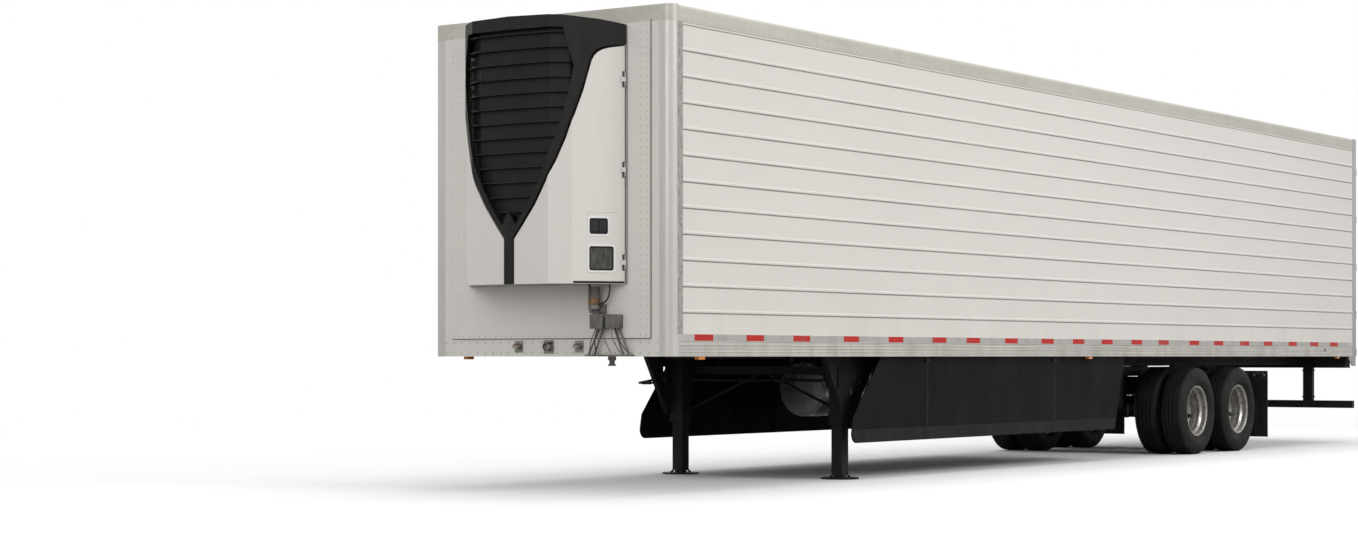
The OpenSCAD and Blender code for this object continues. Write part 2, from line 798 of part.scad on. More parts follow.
// Fuel tank of the unit, hung from the cross members; the skirts' struts stop short of it
tank_r = 280;
tank_x = -560;
strut_reach = skirt_x + tank_x - tank_r - 26;
tank_s = [5000, 6100];

module fuel_tank()
  color("silver") {
    tank_z = rail_z - 60 - tank_r;
    translate([tank_x, at(tank_s[0]), tank_z]) rotate([-90, 0, 0]) cylinder(r = tank_r, h = tank_s[1] - tank_s[0]);
    for (s = [tank_s[0] + 200, tank_s[1] - 250]) {
      translate([tank_x, at(s), tank_z]) rotate([-90, 0, 0]) cylinder(r = tank_r + 6, h = 50);
      block([tank_x - tank_r - 6, at(s), tank_z], [tank_x - tank_r + 4, at(s + 50), beam_z]);
      block([tank_x + tank_r - 4, at(s), tank_z], [tank_x + tank_r + 6, at(s + 50), beam_z]);
      block([tank_x - tank_r - 6, at(s), beam_z - 10], [tank_x + tank_r + 6, at(s + 50), beam_z]);
    }
  }

// ---------------------------------------------------------------- slider rails and tandem

slide_h = 120;
slide_w = 90;
slide_t = 10;
slide_z = beam_z - slide_h;
slide_forward = 610;
slide_back = 2440;
tandem_front = 1550;
tandem_back = 1600;
frame_h = 110;
frame_w = 80;
pad_h = 11;
frame_z = slide_z - pad_h - frame_h;
arm_w = 70;
arm_x = slider_x - 40;

axle_y = [at(tandem_s - axle_gap / 2), at(tandem_s + axle_gap / 2)];

module slide_rails()
  color("dimgray")
    both_sides()
      along_y(at(tandem_s - tandem_front - slide_forward - 340), at(tandem_s + tandem_back + slide_back + 360)) {
        x0 = slider_x - slide_w / 2;
        translate([x0, slide_z]) square([slide_w, slide_t]);
        translate([x0, beam_z - slide_t]) square([slide_w, slide_t]);
        translate([x0 + slide_w - slide_t, slide_z]) square([slide_t, slide_h]);
      }

// Places along the tandem of its cross pieces, from its middle
tandem_ties = [-1500, -560, 60, 640, 1480];
hanger_back = 500;
pivot_up = 97;
pivot_r = 20;
hanger_t = 10;

module tandem_frame()
  color("dimgray") {
    tie_x = slider_x - frame_w / 2 - joint_gap;
    both_sides() {
      block([slider_x - frame_w / 2, at(tandem_s - tandem_front), frame_z],
            [slider_x + frame_w / 2, at(tandem_s + tandem_back), frame_z + frame_h]);
      for (f = [0:3]) slide_shoe(at(tandem_s - tandem_front + 120 + f * 940));
      for (y = axle_y) hanger(y - hanger_back);
    }
    for (k = tandem_ties)
      block([-tie_x, at(tandem_s + k), frame_z + 8], [tie_x, at(tandem_s + k + 90), frame_z + frame_h - 8]);
  }

// A wear pad under the slider rail and a hook over the rail's lower flange
module slide_shoe(y) {
  top = frame_z + frame_h;
  hook_x = slider_x - slide_w / 2 - move_gap - 12;
  block([slider_x - 30, y, top + joint_gap], [slider_x + 20, y + 120, slide_z - seat_gap]);
  block([hook_x, y, top - 30], [hook_x + 12, y + 120, slide_z + slide_t + 20]);
  block([hook_x, y, top - 30], [slider_x - frame_w / 2 - joint_gap, y + 120, top - 10]);
  block([hook_x, y, slide_z + slide_t + 6], [slider_x - 8, y + 120, slide_z + slide_t + 20]);
}

// Two plates beside a trailing arm, with its pivot pin
module hanger(y) {
  z = tyre_r + pivot_up;
  top = frame_z - joint_gap;
  for (x = [arm_x - arm_w / 2 - 5 - hanger_t, arm_x + arm_w / 2 + 5])
    along_x(x, x + hanger_t)
      union() {
        polygon([[y - 75, z], [y + 75, z], [y + 130, top], [y - 110, top]]);
        translate([y, z]) circle(r = 75);
      }
  block([arm_x - arm_w / 2 - 15, y - 110, frame_z - 20], [arm_x + arm_w / 2 + 15, y + 130, top]);
  translate([arm_x - arm_w / 2 - 20, y, z]) rotate([0, 90, 0]) cylinder(r = pivot_r, h = arm_w + 40);
}

arm_top = 165;
spring_back = 330;
spring_r = 120;

// A trailing arm in Y and Z from its axle's centre
module trailing_arm(y)
  translate([0, y, tyre_r])
    difference() {
      along_x(arm_x - arm_w / 2, arm_x + arm_w / 2) {
        translate([-hanger_back, pivot_up]) circle(r = 55);
        polygon([[-hanger_back, 45], [-90, 80], [90, 80], [440, 120], [440, arm_top], [230, arm_top],
                 [60, 180], [-120, 175], [-hanger_back, 149]]);
        translate([-85, -20]) square([170, 110]);
      }
      rotate([0, 90, 0]) cylinder(r = axle_r + seat_gap, h = 1000);
      translate([0, -hanger_back, pivot_up]) rotate([0, 90, 0]) cylinder(r = pivot_r + seat_gap, h = 1000);
    }

module trailing_arms() color("dimgray") both_sides() for (y = axle_y) trailing_arm(y);

module air_springs()
  color("black")
    both_sides()
      for (y = axle_y)
        translate([arm_x, y + spring_back, tyre_r + arm_top]) {
          h = frame_z - tyre_r - arm_top;
          rotate_extrude()
            polygon(concat(
              [[0, 0], [spring_r * 0.72, 0], [spring_r * 0.78, h * 0.4]],
              arc(spring_r - h * 0.16, h * 0.58, h * 0.16, -90, 0, 4),
              arc(spring_r - h * 0.16, h * 0.78, h * 0.16, 0, 90, 4),
              [[spring_r * 0.7, h * 0.94], [spring_r * 0.7, h], [0, h]]));
        }

spindle_r = 42;
spider_x = dual_x - 259;
chamber_x = 250;
chamber_r = 82;
cam_back = 125;

module axle(y)
  translate([0, y, tyre_r]) {
    rotate([0, 90, 0]) cylinder(r = axle_r, h = 2 * spider_x, center = true);
    both_sides() {
      translate([spider_x - 1, 0, 0]) rotate([0, 90, 0]) cylinder(r = spindle_r, h = dual_x + 35 - spider_x + 1);
      translate([spider_x, 0, 0]) rotate([0, 90, 0]) cylinder(r = 190, h = 8);
      bar([chamber_x, cam_back, -10], [spider_x + 1, cam_back, -10], 18);
      block([chamber_x - 15, 0, -60], [chamber_x + 15, cam_back + 30, 45]);
      translate([chamber_x, cam_back + 25, -10]) rotate([-90, 0, 0]) cylinder(r = chamber_r, h = 190);
      translate([chamber_x, cam_back + 105, -10]) rotate([-90, 0, 0]) cylinder(r = chamber_r + 7, h = 20);
    }
  }

module axle_front() color("dimgray") axle(axle_y[0]);

module axle_rear() color("dimgray") axle(axle_y[1]);

module air_tank()
  color("dimgray") {
    y = at(tandem_s + tandem_ties[2] + 45);
    r = 115;
    z = frame_z - r - 12;
    translate([-350, y, z]) rotate([0, 90, 0]) cylinder(r = r, h = 700);
    for (x = [-230, 190]) {
      translate([x, y, z]) rotate([0, 90, 0]) cylinder(r = r + 5, h = 40);
      block([x, y - 40, z + r - 10], [x + 40, y + 40, frame_z + 8]);
    }
  }

flap_back = 920;
flap_z = 150;
flap_bar_r = 15;
flap_top_z = frame_z + 40;

module mud_flaps()
  color("black")
    both_sides() {
      y = axle_y[1] + flap_back;
      bar([slider_x + frame_w / 2, y, flap_top_z], [half_w - 20, y, flap_top_z], flap_bar_r);
      block([half_w - 620, y - 4, flap_z], [half_w - 15, y + 4, flap_top_z - flap_bar_r - seat_gap]);
    }

// ---------------------------------------------------------------- wheels

rim_seat_r = 285.5;
rim_half_w = 118;
bead_half_w = 103;

// Ring of revolution about X, from its axial and radial limits
module ring(r0, r1, a0, a1) rotate_extrude() translate([r0, a0]) square([r1 - r0, a1 - a0]);

module tyre() {
  bulge = (8 * tyre_w / 2 - bead_half_w - 118) / 6;
  half = concat(
    [[rim_seat_r + 0.5, bead_half_w]],
    curve([rim_seat_r + 16, bead_half_w], [rim_seat_r + 50, bulge], [tyre_r - 70, bulge], [tyre_r - 14, 118], 10),
    [[tyre_r - 14, 118], [tyre_r - 5, 105], [tyre_r - 1, 60], [tyre_r, 0]]);
  rotate_extrude($fn = 96)
    polygon(concat(half, [for (i = [len(half) - 2:-1:0]) [half[i][0], -half[i][1]]]));
}

// Half of a rim's section and its disc, as radius and distance from the dual middle
module wheel_half() {
  c = dual_gap / 2;
  rotate_extrude($fn = 96)
    polygon([
      [rim_seat_r + 14, c - rim_half_w], [rim_seat_r + 14, c - 110], [rim_seat_r, c - 104],
      [rim_seat_r - 0.5, c - 62], [262, c - 44], [262, c + 30], [rim_seat_r - 0.5, c + 52],
      [rim_seat_r, c + 104], [rim_seat_r + 14, c + 110], [rim_seat_r + 14, c + rim_half_w],
      [291, c + rim_half_w], [289, c + 112], [276, c + 106], [275, c + 58], [252, c + 36],
      [252, c - 50], [275, c - 68], [276, c - 106], [289, c - 112], [291, c - rim_half_w]]);
  rotate_extrude($fn = 96)
    polygon([[110, 0], [170, 0], [215, 45], [243, 95], [252, c - 44], [253, c - 14],
             [241, c - 14], [232, 100], [205, 55], [163, 12], [110, 12]]);
}

module hub() {
  ring(spindle_r + pin_gap, 92, -225, 30);
  ring(91, 170, -34, -12);
  ring(91, 110, -13, 30);
  ring(91, 225, -46, -33);
  ring(209, 225, -240, -45);
  difference() {
    translate([0, 0, 29]) cylinder(r1 = 96, r2 = 76, h = 66);
    translate([0, 0, 0]) cylinder(r = spindle_r + pin_gap, h = 40);
  }
}

hand_holes = 5;

module wheel()
  difference() {
    union() {
      wheel_half();
      mirror([0, 0, 1]) wheel_half();
      hub();
    }
    for (i = [0:hand_holes - 1])
      rotate([0, 0, i * 360 / hand_holes]) translate([212, 0, -130]) cylinder(r = 30, h = 260);
  }

// The children of a wheel body, drawn about Z, put at a left axle end
module at_wheel(y) translate([dual_x, y, tyre_r]) rotate([0, 90, 0]) children();

module tyre_pair()
  for (k = [-1, 1]) translate([0, 0, k * dual_gap / 2]) tyre();

module tyres_front_left() color("black") at_wheel(axle_y[0]) tyre_pair();

module tyres_rear_left() color("black") at_wheel(axle_y[1]) tyre_pair();

module tyres_front_right() color("black") mirror([1, 0, 0]) at_wheel(axle_y[0]) tyre_pair();

module tyres_rear_right() color("black") mirror([1, 0, 0]) at_wheel(axle_y[1]) tyre_pair();

module wheels_front_left() color("silver") at_wheel(axle_y[0]) wheel();

module wheels_rear_left() color("silver") at_wheel(axle_y[1]) wheel();

module wheels_front_right() color("silver") mirror([1, 0, 0]) at_wheel(axle_y[0]) wheel();

module wheels_rear_right() color("silver") mirror([1, 0, 0]) at_wheel(axle_y[1]) wheel();

// ---------------------------------------------------------------- nodes

cargo_floor();
cross_members();
coupler_plate();
kingpin();
front_wall();
corner_posts();
side_wall_left();
side_wall_right();
top_rails();
roof();
bottom_rails();
rear_frame();
slide_rails();
landing_legs();
landing_braces();
skirt_left();
skirt_right();
rear_guard();
dock_bumpers();
marker_lamps();
rear_lamps();
air_bulkhead();
unit_frame();
unit_cap();
unit_grille();
engine_block();
unit_fittings();
fuel_tank();
door_left();
door_left_locks();
door_right();
door_right_locks();
unit_door_left();
unit_door_right();
tandem_frame();
trailing_arms();
air_springs();
axle_front();
axle_rear();
air_tank();
mud_flaps();
tyres_front_left();
tyres_front_right();
tyres_rear_left();
tyres_rear_right();
wheels_front_left();
wheels_front_right();
wheels_rear_left();
wheels_rear_right();
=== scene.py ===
"""Looks of the refrigerated van semi trailer: finishes for its CAD nodes and the small pieces on them."""
import json
import math
import random

import bmesh
import bpy
import numpy as np
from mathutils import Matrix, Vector


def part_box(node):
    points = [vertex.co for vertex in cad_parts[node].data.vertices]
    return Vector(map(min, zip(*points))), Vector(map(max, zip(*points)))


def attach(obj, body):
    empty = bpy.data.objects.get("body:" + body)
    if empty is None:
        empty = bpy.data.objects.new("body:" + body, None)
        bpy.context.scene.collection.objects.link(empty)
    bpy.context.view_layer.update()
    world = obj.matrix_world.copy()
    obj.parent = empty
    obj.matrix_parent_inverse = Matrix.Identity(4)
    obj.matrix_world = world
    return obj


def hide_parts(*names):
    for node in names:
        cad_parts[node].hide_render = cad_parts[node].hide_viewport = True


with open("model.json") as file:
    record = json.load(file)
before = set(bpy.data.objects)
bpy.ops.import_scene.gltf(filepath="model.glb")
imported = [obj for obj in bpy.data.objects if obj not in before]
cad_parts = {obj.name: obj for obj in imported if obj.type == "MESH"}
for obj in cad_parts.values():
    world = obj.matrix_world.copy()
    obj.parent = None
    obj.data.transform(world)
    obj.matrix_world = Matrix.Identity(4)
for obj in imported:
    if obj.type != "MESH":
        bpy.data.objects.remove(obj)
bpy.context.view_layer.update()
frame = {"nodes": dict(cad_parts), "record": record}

NODES = frame["nodes"]
RANDOM = random.Random(53)

# ---- places, all from the frame

RAIL_LO, RAIL_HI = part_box("bottom_rails")
TOP_LO, TOP_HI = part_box("top_rails")
SIDE_LO, SIDE_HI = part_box("side_wall_left")
DOOR_LO, DOOR_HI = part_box("door_left")
TYRE_LO, TYRE_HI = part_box("tyres_front_left")
WHEEL_LO, WHEEL_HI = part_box("wheels_front_left")
SKIRT_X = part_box("skirt_left")[1].x
UNIT_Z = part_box("unit_door_left")[0].z

HALF_W = RAIL_HI.x
RAIL_Z = RAIL_LO.z
NOSE_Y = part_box("corner_posts")[0].y
PANEL_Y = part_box("front_wall")[0].y
WALLS_END_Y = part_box("rear_frame")[0].y
REAR_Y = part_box("dock_bumpers")[0].y
WALL_IN, DECK_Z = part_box("cargo_floor")[1].x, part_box("cargo_floor")[1].z
CEILING_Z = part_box("roof")[0].z
TYRE_R = (TYRE_HI.z - TYRE_LO.z) / 2
DUAL_X = (WHEEL_LO.x + WHEEL_HI.x) / 2
AXLES = {}
for end in ("front", "rear"):
    low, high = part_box(f"tyres_{end}_left")
    AXLES[end] = (low.y + high.y) / 2
SIDES = {"left": 1, "right": -1}


def behind(s):
    """Y of a place s metres behind the nose."""
    return NOSE_Y + s


def mirrored(sx, a, b):
    """Low and high X of a stretch from a to b on the left (sx 1) or the right (sx -1)."""
    return sorted((sx * a, sx * b))


def around(radius, count, first=0.0):
    """Places evenly round a circle, as pairs; first turns them by that share of a step."""
    turns = (2 * math.pi * (k + first) / count for k in range(count))
    return [(radius * math.cos(a), radius * math.sin(a)) for a in turns]


# ---- materials


class Nodes:
    """A material whose colour, roughness and bump come from procedural nodes."""

    def __init__(self, name, **sockets):
        self.material = bpy.data.materials.new(name)
        self.material.use_nodes = True
        self.tree = self.material.node_tree
        self.shader = self.tree.nodes["Principled BSDF"]
        for key, value in sockets.items():
            self.shader.inputs[key].default_value = value
        self.place = self.add("TexCoord").outputs["Object"]

    def add(self, kind, inputs=(), **settings):
        """A shader node; inputs are plain values or other nodes' outputs, by socket."""
        node = self.tree.nodes.new("ShaderNode" + kind)
        for key, value in settings.items():
            setattr(node, key, value)
        for key, value in dict(inputs).items():
            self.put(node.inputs[key], value)
        return node

    def put(self, socket, value):
        """Links a socket to another node's output, or sets it to a plain value."""
        if isinstance(value, bpy.types.NodeSocket):
            self.tree.links.new(value, socket)
        else:
            socket.default_value = value

    def stretched(self, scale):
        return self.add("Mapping", {"Vector": self.place, "Scale": scale}).outputs["Vector"]

    def noise(self, scale, detail=4.0, stretch=(1, 1, 1), rough=0.55):
        inputs = {"Vector": self.stretched(stretch), "Scale": scale, "Detail": detail, "Roughness": rough}
        return self.add("TexNoise", inputs).outputs["Fac"]

    def remap(self, value, low, high, to_low=0.0, to_high=1.0):
        inputs = {"Value": value, "From Min": low, "From Max": high, "To Min": to_low, "To Max": to_high}
        return self.add("MapRange", inputs).outputs["Result"]

    def math(self, operation, a, b=0.0):
        return self.add("Math", {0: a, 1: b}, operation=operation).outputs[0]

    def mix(self, factor, a, b):
        a, b = (c if isinstance(c, bpy.types.NodeSocket) else (*c[:3], 1) for c in (a, b))
        return self.add("Mix", {"Factor": factor, "A": a, "B": b}, data_type="RGBA").outputs["Result"]

    def axis(self, letter):
        return self.add("SeparateXYZ", {0: self.place}).outputs[letter]

    def colour(self, value):
        self.put(self.shader.inputs["Base Color"], value)

    def roughness(self, value):
        self.put(self.shader.inputs["Roughness"], value)

    def bump(self, height, strength, distance):
        """Adds a bump on top of those already there."""
        inputs = {"Strength": strength, "Distance": distance, "Height": height}
        normal = self.shader.inputs["Normal"]
        if normal.is_linked:
            inputs["Normal"] = normal.links[0].from_socket
        self.put(normal, self.add("Bump", inputs).outputs["Normal"])


def shade(colour, factor):
    return tuple(min(1.0, c * factor) for c in colour)


def worn(name, colour, rough, vary=0.06, scale=2.5, stretch=(1, 1, 1), dirt=None, dirt_z=None,
         dirt_amount=0.6, grain=None, waves=None, marks=None, **sockets):
    """Paint, plastic, rubber or metal with uneven tone, grain, and dirt that grows downwards over dirt_z."""
    m = Nodes(name, **sockets)
    tone = m.noise(scale, 5.0, stretch)
    result = m.mix(m.remap(tone, 0.3, 0.7), shade(colour, 1 - vary), shade(colour, 1 + vary))
    uneven = m.remap(m.noise(scale * 3.1, 4.0, stretch), 0.3, 0.7, rough - 0.07, rough + 0.07)
    if dirt:
        patches = m.remap(m.noise(scale * 1.7, 8.0, (1, 1, 0.35), 0.65), 0.42, 0.72)
        if dirt_z:
            patches = m.math("MULTIPLY", patches, m.remap(m.axis("Z"), dirt_z[1], dirt_z[0]))
        amount = m.math("MULTIPLY", patches, dirt_amount)
        result = m.mix(amount, result, dirt)
        uneven = m.math("ADD", uneven, m.math("MULTIPLY", amount, 0.35))
    if marks:
        result = marks(m, result)
    m.colour(result)
    m.roughness(uneven)
    if waves:
        m.bump(m.noise(waves[0], 1.0), waves[1], waves[2])
    if grain:
        m.bump(m.noise(grain[0], 3.0, grain[3] if len(grain) > 3 else (1, 1, 1)), grain[1], grain[2])
    return m.material


ROAD_DIRT = (0.22, 0.19, 0.155)
DRY_DUST = (0.11, 0.10, 0.088)
WHITE = (0.79, 0.755, 0.71)

BEAD_LOW, BEAD_TOP, BEADS = SIDE_LO.z + 0.191, SIDE_HI.z - 0.226, 11
BEAD_PITCH = (BEAD_TOP - BEAD_LOW) / (BEADS - 1)


def bead_shade_and_dirt(m, colour):
    """Painted shade and dirt: a dark stripe along the lower edge of each raised bead."""
    turns = m.math("MULTIPLY", m.math("SUBTRACT", m.axis("Z"), BEAD_LOW - BEAD_PITCH / 2), 1 / BEAD_PITCH)
    from_bead = m.math("MULTIPLY", m.math("SUBTRACT", m.math("FRACT", turns), 0.5), BEAD_PITCH)
    # the dark stripe is painted shade under the bead, mixed with dirt
    shade_stripe = m.remap(m.math("ABSOLUTE", m.math("ADD", from_bead, 0.0165)), 0.0075, 0.0025)
    uneven = m.remap(m.noise(1.3, 3.0, (1, 1, 0.2)), 0.35, 0.65, 0.72, 0.9)
    return m.mix(m.math("MULTIPLY", shade_stripe, uneven), colour, (0.16, 0.145, 0.13))


PAINT_GLOSS = {"Coat Weight": 0.2, "Coat Roughness": 0.15}
PAINT = worn("white_paint", WHITE, 0.34, 0.012, 0.9, dirt=ROAD_DIRT, dirt_z=(1.1, 2.2), dirt_amount=0.16,
             waves=(1.4, 0.05, 0.03), **PAINT_GLOSS)
# the side walls carry a dark stripe of painted shade and dirt under each raised bead
SIDE_PAINT = worn("side_wall_paint", WHITE, 0.36, 0.014, 0.7, (1, 0.6, 1), ROAD_DIRT, (1.1, 2.0), 0.18,
                  waves=(1.2, 0.06, 0.03), marks=bead_shade_and_dirt, **PAINT_GLOSS)
RAIL = worn("rail_aluminium", (0.66, 0.635, 0.595), 0.4, 0.14, 3.0, (6, 0.2, 16), ROAD_DIRT, (1.1, 1.4), 0.5,
            grain=(60, 0.12, 0.001, (1, 0.02, 3)), Metallic=0.5)
TOP_RAIL = worn("top_rail_aluminium", (0.635, 0.61, 0.545), 0.42, 0.05, 2.0, (4, 0.3, 6), dirt=ROAD_DIRT,
                dirt_amount=0.12, grain=(50, 0.08, 0.001, (1, 0.03, 2)), Metallic=0.35)
POST = worn("post_aluminium", (0.68, 0.655, 0.62), 0.36, 0.05, 2.0, (9, 9, 0.4), ROAD_DIRT, (1.1, 2.6), 0.25,
            Metallic=0.35)
DECK = worn("deck_aluminium", (0.55, 0.55, 0.54), 0.36, 0.12, 3.0, (9, 0.4, 4), dirt=(0.12, 0.11, 0.10),
            dirt_amount=0.5, grain=(80, 0.15, 0.001, (1, 0.05, 1)), Metallic=0.9)
STEEL = worn("rear_steel", (0.56, 0.555, 0.54), 0.33, 0.08, 4.0, (3, 3, 0.6), ROAD_DIRT, (1.0, 2.4), 0.35,
             grain=(90, 0.08, 0.0006, (1, 1, 0.1)), Metallic=0.85)
CHASSIS = worn("chassis_black", (0.013, 0.0125, 0.012), 0.5, 0.25, 4.0, dirt=(0.055, 0.05, 0.042),
               dirt_amount=0.35, grain=(160, 0.18, 0.0008), **{"Specular IOR Level": 0.18})
KINGPIN = worn("kingpin_steel", (0.30, 0.29, 0.28), 0.32, 0.15, 20.0, dirt=(0.03, 0.028, 0.025),
               dirt_amount=0.7, Metallic=1.0)
SKIRT = worn("skirt_black", (0.0055, 0.005, 0.0044), 0.58, 0.15, 1.2, (1, 1, 0.5), (0.05, 0.046, 0.04),
             (0.34, 0.75), 0.2, waves=(1.1, 0.10, 0.02), grain=(300, 0.10, 0.0004),
             **{"Specular IOR Level": 0.12})
RUBBER = worn("black_rubber", (0.016, 0.0155, 0.015), 0.62, 0.15, 6.0, dirt=(0.06, 0.054, 0.047),
              dirt_amount=0.4, grain=(220, 0.2, 0.0006), **{"Specular IOR Level": 0.15})
LINER = worn("white_liner", (0.74, 0.74, 0.72), 0.45, 0.03, 1.6, dirt=(0.30, 0.29, 0.27), dirt_z=(1.3, 2.4),
             dirt_amount=0.3, grain=(420, 0.12, 0.0006))
UNIT_BLACK = worn("unit_black", (0.0165, 0.0155, 0.0145), 0.4, 0.10, 3.0, dirt=(0.06, 0.055, 0.048),
                  dirt_amount=0.18, grain=(260, 0.12, 0.0006), **{"Specular IOR Level": 0.22})
HUB_BLACK = worn("hub_black", (0.022, 0.019, 0.017), 0.38, 0.3, 18.0, dirt=(0.09, 0.075, 0.06),
                 dirt_amount=0.4, Metallic=0.3)
HOSE_BLUE = worn("hose_blue", (0.02, 0.05, 0.20), 0.5, 0.1, 8.0, dirt=DRY_DUST, dirt_amount=0.3)
HOSE_RED = worn("hose_red", (0.30, 0.02, 0.015), 0.5, 0.1, 8.0, dirt=DRY_DUST, dirt_amount=0.3)
HOSE_BLACK = worn("hose_black", (0.014, 0.014, 0.013), 0.55, 0.1, 8.0, dirt=DRY_DUST, dirt_amount=0.35)
UNIT_STEEL = worn("unit_steel", (0.06, 0.06, 0.058), 0.45, 0.2, 5.0, dirt=DRY_DUST, dirt_amount=0.4,
                  Metallic=0.4)
ENGINE = worn("engine_iron", (0.09, 0.092, 0.095), 0.55, 0.2, 7.0, dirt=(0.04, 0.03, 0.022),
              dirt_amount=0.7, grain=(60, 0.4, 0.002), Metallic=0.5)
FITTING = worn("fitting_grey", (0.20, 0.19, 0.175), 0.5, 0.2, 9.0, dirt=(0.05, 0.035, 0.022), Metallic=0.3)
BRONZE = worn("filter_bronze", (0.24, 0.15, 0.075), 0.4, 0.2, 14.0, dirt=(0.03, 0.025, 0.02),
              dirt_amount=0.5, Metallic=0.7)
TANK = worn("tank_aluminium", (0.62, 0.62, 0.61), 0.3, 0.06, 3.0, (4, 0.5, 4), ROAD_DIRT, (0.5, 1.1), 0.5,
            grain=(70, 0.1, 0.0008, (1, 0.05, 1)), Metallic=0.95)
NUT_STEEL = worn("nut_steel", (0.36, 0.34, 0.31), 0.4, 0.2, 30.0, dirt=(0.10, 0.05, 0.025),
                 dirt_amount=0.5, Metallic=0.85)
RIVET = worn("rivet_steel", (0.56, 0.54, 0.50), 0.4, 0.06, 20.0, dirt=ROAD_DIRT, dirt_amount=0.3,
             Metallic=0.5)
SEAL = worn("sealant_grey", (0.42, 0.40, 0.37), 0.55, 0.22, 26.0, (1, 1, 0.6), dirt=(0.17, 0.16, 0.15),
            dirt_amount=0.75, grain=(90, 0.5, 0.003))
UNIT_FRAME = worn("unit_frame_grey", (0.36, 0.355, 0.34), 0.45, 0.06, 5.0, dirt=(0.12, 0.11, 0.10),
                  dirt_amount=0.4)
# painted shadow: dark strips standing in for the shadow line at the nose panel's raised edges
PANEL_EDGE_SHADOW = worn("panel_edge_painted_shadow", (0.085, 0.08, 0.072), 0.6, 0.35, 7.0, (1, 1, 0.4),
                  dirt=(0.02, 0.018, 0.016), dirt_amount=0.5)
GLOSS_BLACK = worn("gloss_black", (0.012, 0.012, 0.012), 0.14, 0.1, 3.0)


def lens(name, colour):
    """Ribbed lamp plastic."""
    m = Nodes(name, **{"Coat Weight": 0.6, "Coat Roughness": 0.06, "Roughness": 0.22})
    m.colour(m.mix(m.remap(m.noise(40, 2.0), 0.35, 0.65), shade(colour, 0.8), shade(colour, 1.2)))
    wave = m.add("TexWave", {"Vector": m.place, "Scale": 60})
    m.bump(wave.outputs["Fac"], 0.35, 0.002)
    return m.material


RED_LENS = lens("red_lens", (0.50, 0.012, 0.010))
AMBER_LENS = lens("amber_lens", (0.75, 0.22, 0.012))
CLEAR_LENS = lens("clear_lens", (0.62, 0.60, 0.57))


def tape(name, colour):
    """Reflective tape: small cells under a clear film."""
    m = Nodes(name, Roughness=0.5,
              **{"Coat Weight": 0.1, "Coat Roughness": 0.2, "Specular IOR Level": 0.3})
    cells = m.add("TexVoronoi", {"Vector": m.place, "Scale": 160})
    shaded = m.mix(m.remap(cells.outputs["Distance"], 0.0, 0.7), shade(colour, 1.15), shade(colour, 0.8))
    m.colour(m.mix(m.remap(m.noise(6, 6.0), 0.5, 0.75, 0, 0.35), shaded, ROAD_DIRT))
    return m.material


RIM_WHITE = worn("window_rim_white", (0.90, 0.89, 0.87), 0.28, 0.02, 9.0)
# the pale patches mixed into the display's dark glass are painted reflections
DISPLAY_WITH_PAINTED_REFLECTIONS = worn("display_glass_painted_reflections", (0.012, 0.014, 0.012), 0.10, 0.4, 18.0, dirt=(0.20, 0.20, 0.14),
               dirt_amount=0.45, **{"Coat Weight": 0.6, "Coat Roughness": 0.04})
TAPE_RED = tape("tape_red", (0.60, 0.016, 0.009))
TAPE_WHITE = tape("tape_white", (0.52, 0.51, 0.48))


def tyre_rubber():
    """Tread and sidewall rubber, with browner dusty patches."""
    m = Nodes("tyre_rubber")
    dusty = m.mix(m.remap(m.noise(5, 6.0), 0.35, 0.7), (0.013, 0.012, 0.011), (0.027, 0.024, 0.021))
    m.colour(m.mix(m.remap(m.noise(70, 3.0), 0.5, 0.8, 0, 0.5), dusty, (0.05, 0.044, 0.038)))
    m.shader.inputs["Specular IOR Level"].default_value = 0.15
    m.roughness(m.remap(m.noise(14, 4.0), 0.3, 0.7, 0.5, 0.72))
    m.bump(m.noise(260, 2.0), 0.2, 0.0008)
    return m.material


TYRE = tyre_rubber()

# radii of a wheel's hub and drum, and where its silver starts and ends turning greasy
HUB_R, DRUM_R = 0.1115, 0.227
GREASE_R = (0.262, 0.14)
DISC_BACK = 0.0125


def wheel_paint(name, axle_y):
    """Silver wheels that darken towards the greasy hub; the hub and the drum are darker iron."""
    m = Nodes(name, Metallic=0.72)
    y = m.math("SUBTRACT", m.axis("Y"), axle_y)
    z = m.math("SUBTRACT", m.axis("Z"), TYRE_R)
    radius = m.math("SQRT", m.math("ADD", m.math("MULTIPLY", y, y), m.math("MULTIPLY", z, z)))
    across = m.math("ABSOLUTE", m.axis("X"))
    streaks = m.remap(m.noise(9, 7.0, (1, 1, 1), 0.65), 0.35, 0.7)
    silver = m.mix(streaks, (0.60, 0.59, 0.565), (0.34, 0.32, 0.295))
    grimy = m.mix(m.remap(radius, *GREASE_R), silver, (0.085, 0.075, 0.066))
    spots = m.math("MULTIPLY", m.remap(m.noise(30, 6.0), 0.5, 0.66), 0.65)
    grimy = m.mix(spots, grimy, (0.10, 0.085, 0.07))
    iron = m.mix(m.remap(m.noise(25, 5.0), 0.35, 0.65), (0.020, 0.018, 0.016), (0.06, 0.046, 0.036))
    is_hub = m.math("LESS_THAN", radius, HUB_R)
    inside = m.math("LESS_THAN", across, DUAL_X - DISC_BACK)
    is_drum = m.math("MULTIPLY", inside, m.math("LESS_THAN", radius, DRUM_R))
    m.colour(m.mix(m.math("MAXIMUM", is_hub, is_drum), grimy, iron))
    m.roughness(m.remap(streaks, 0, 1, 0.3, 0.5))
    m.bump(m.noise(120, 3.0), 0.12, 0.0008)
    return m.material


WHEEL_PAINT = {end: wheel_paint(f"wheel_paint_{end}", y) for end, y in AXLES.items()}

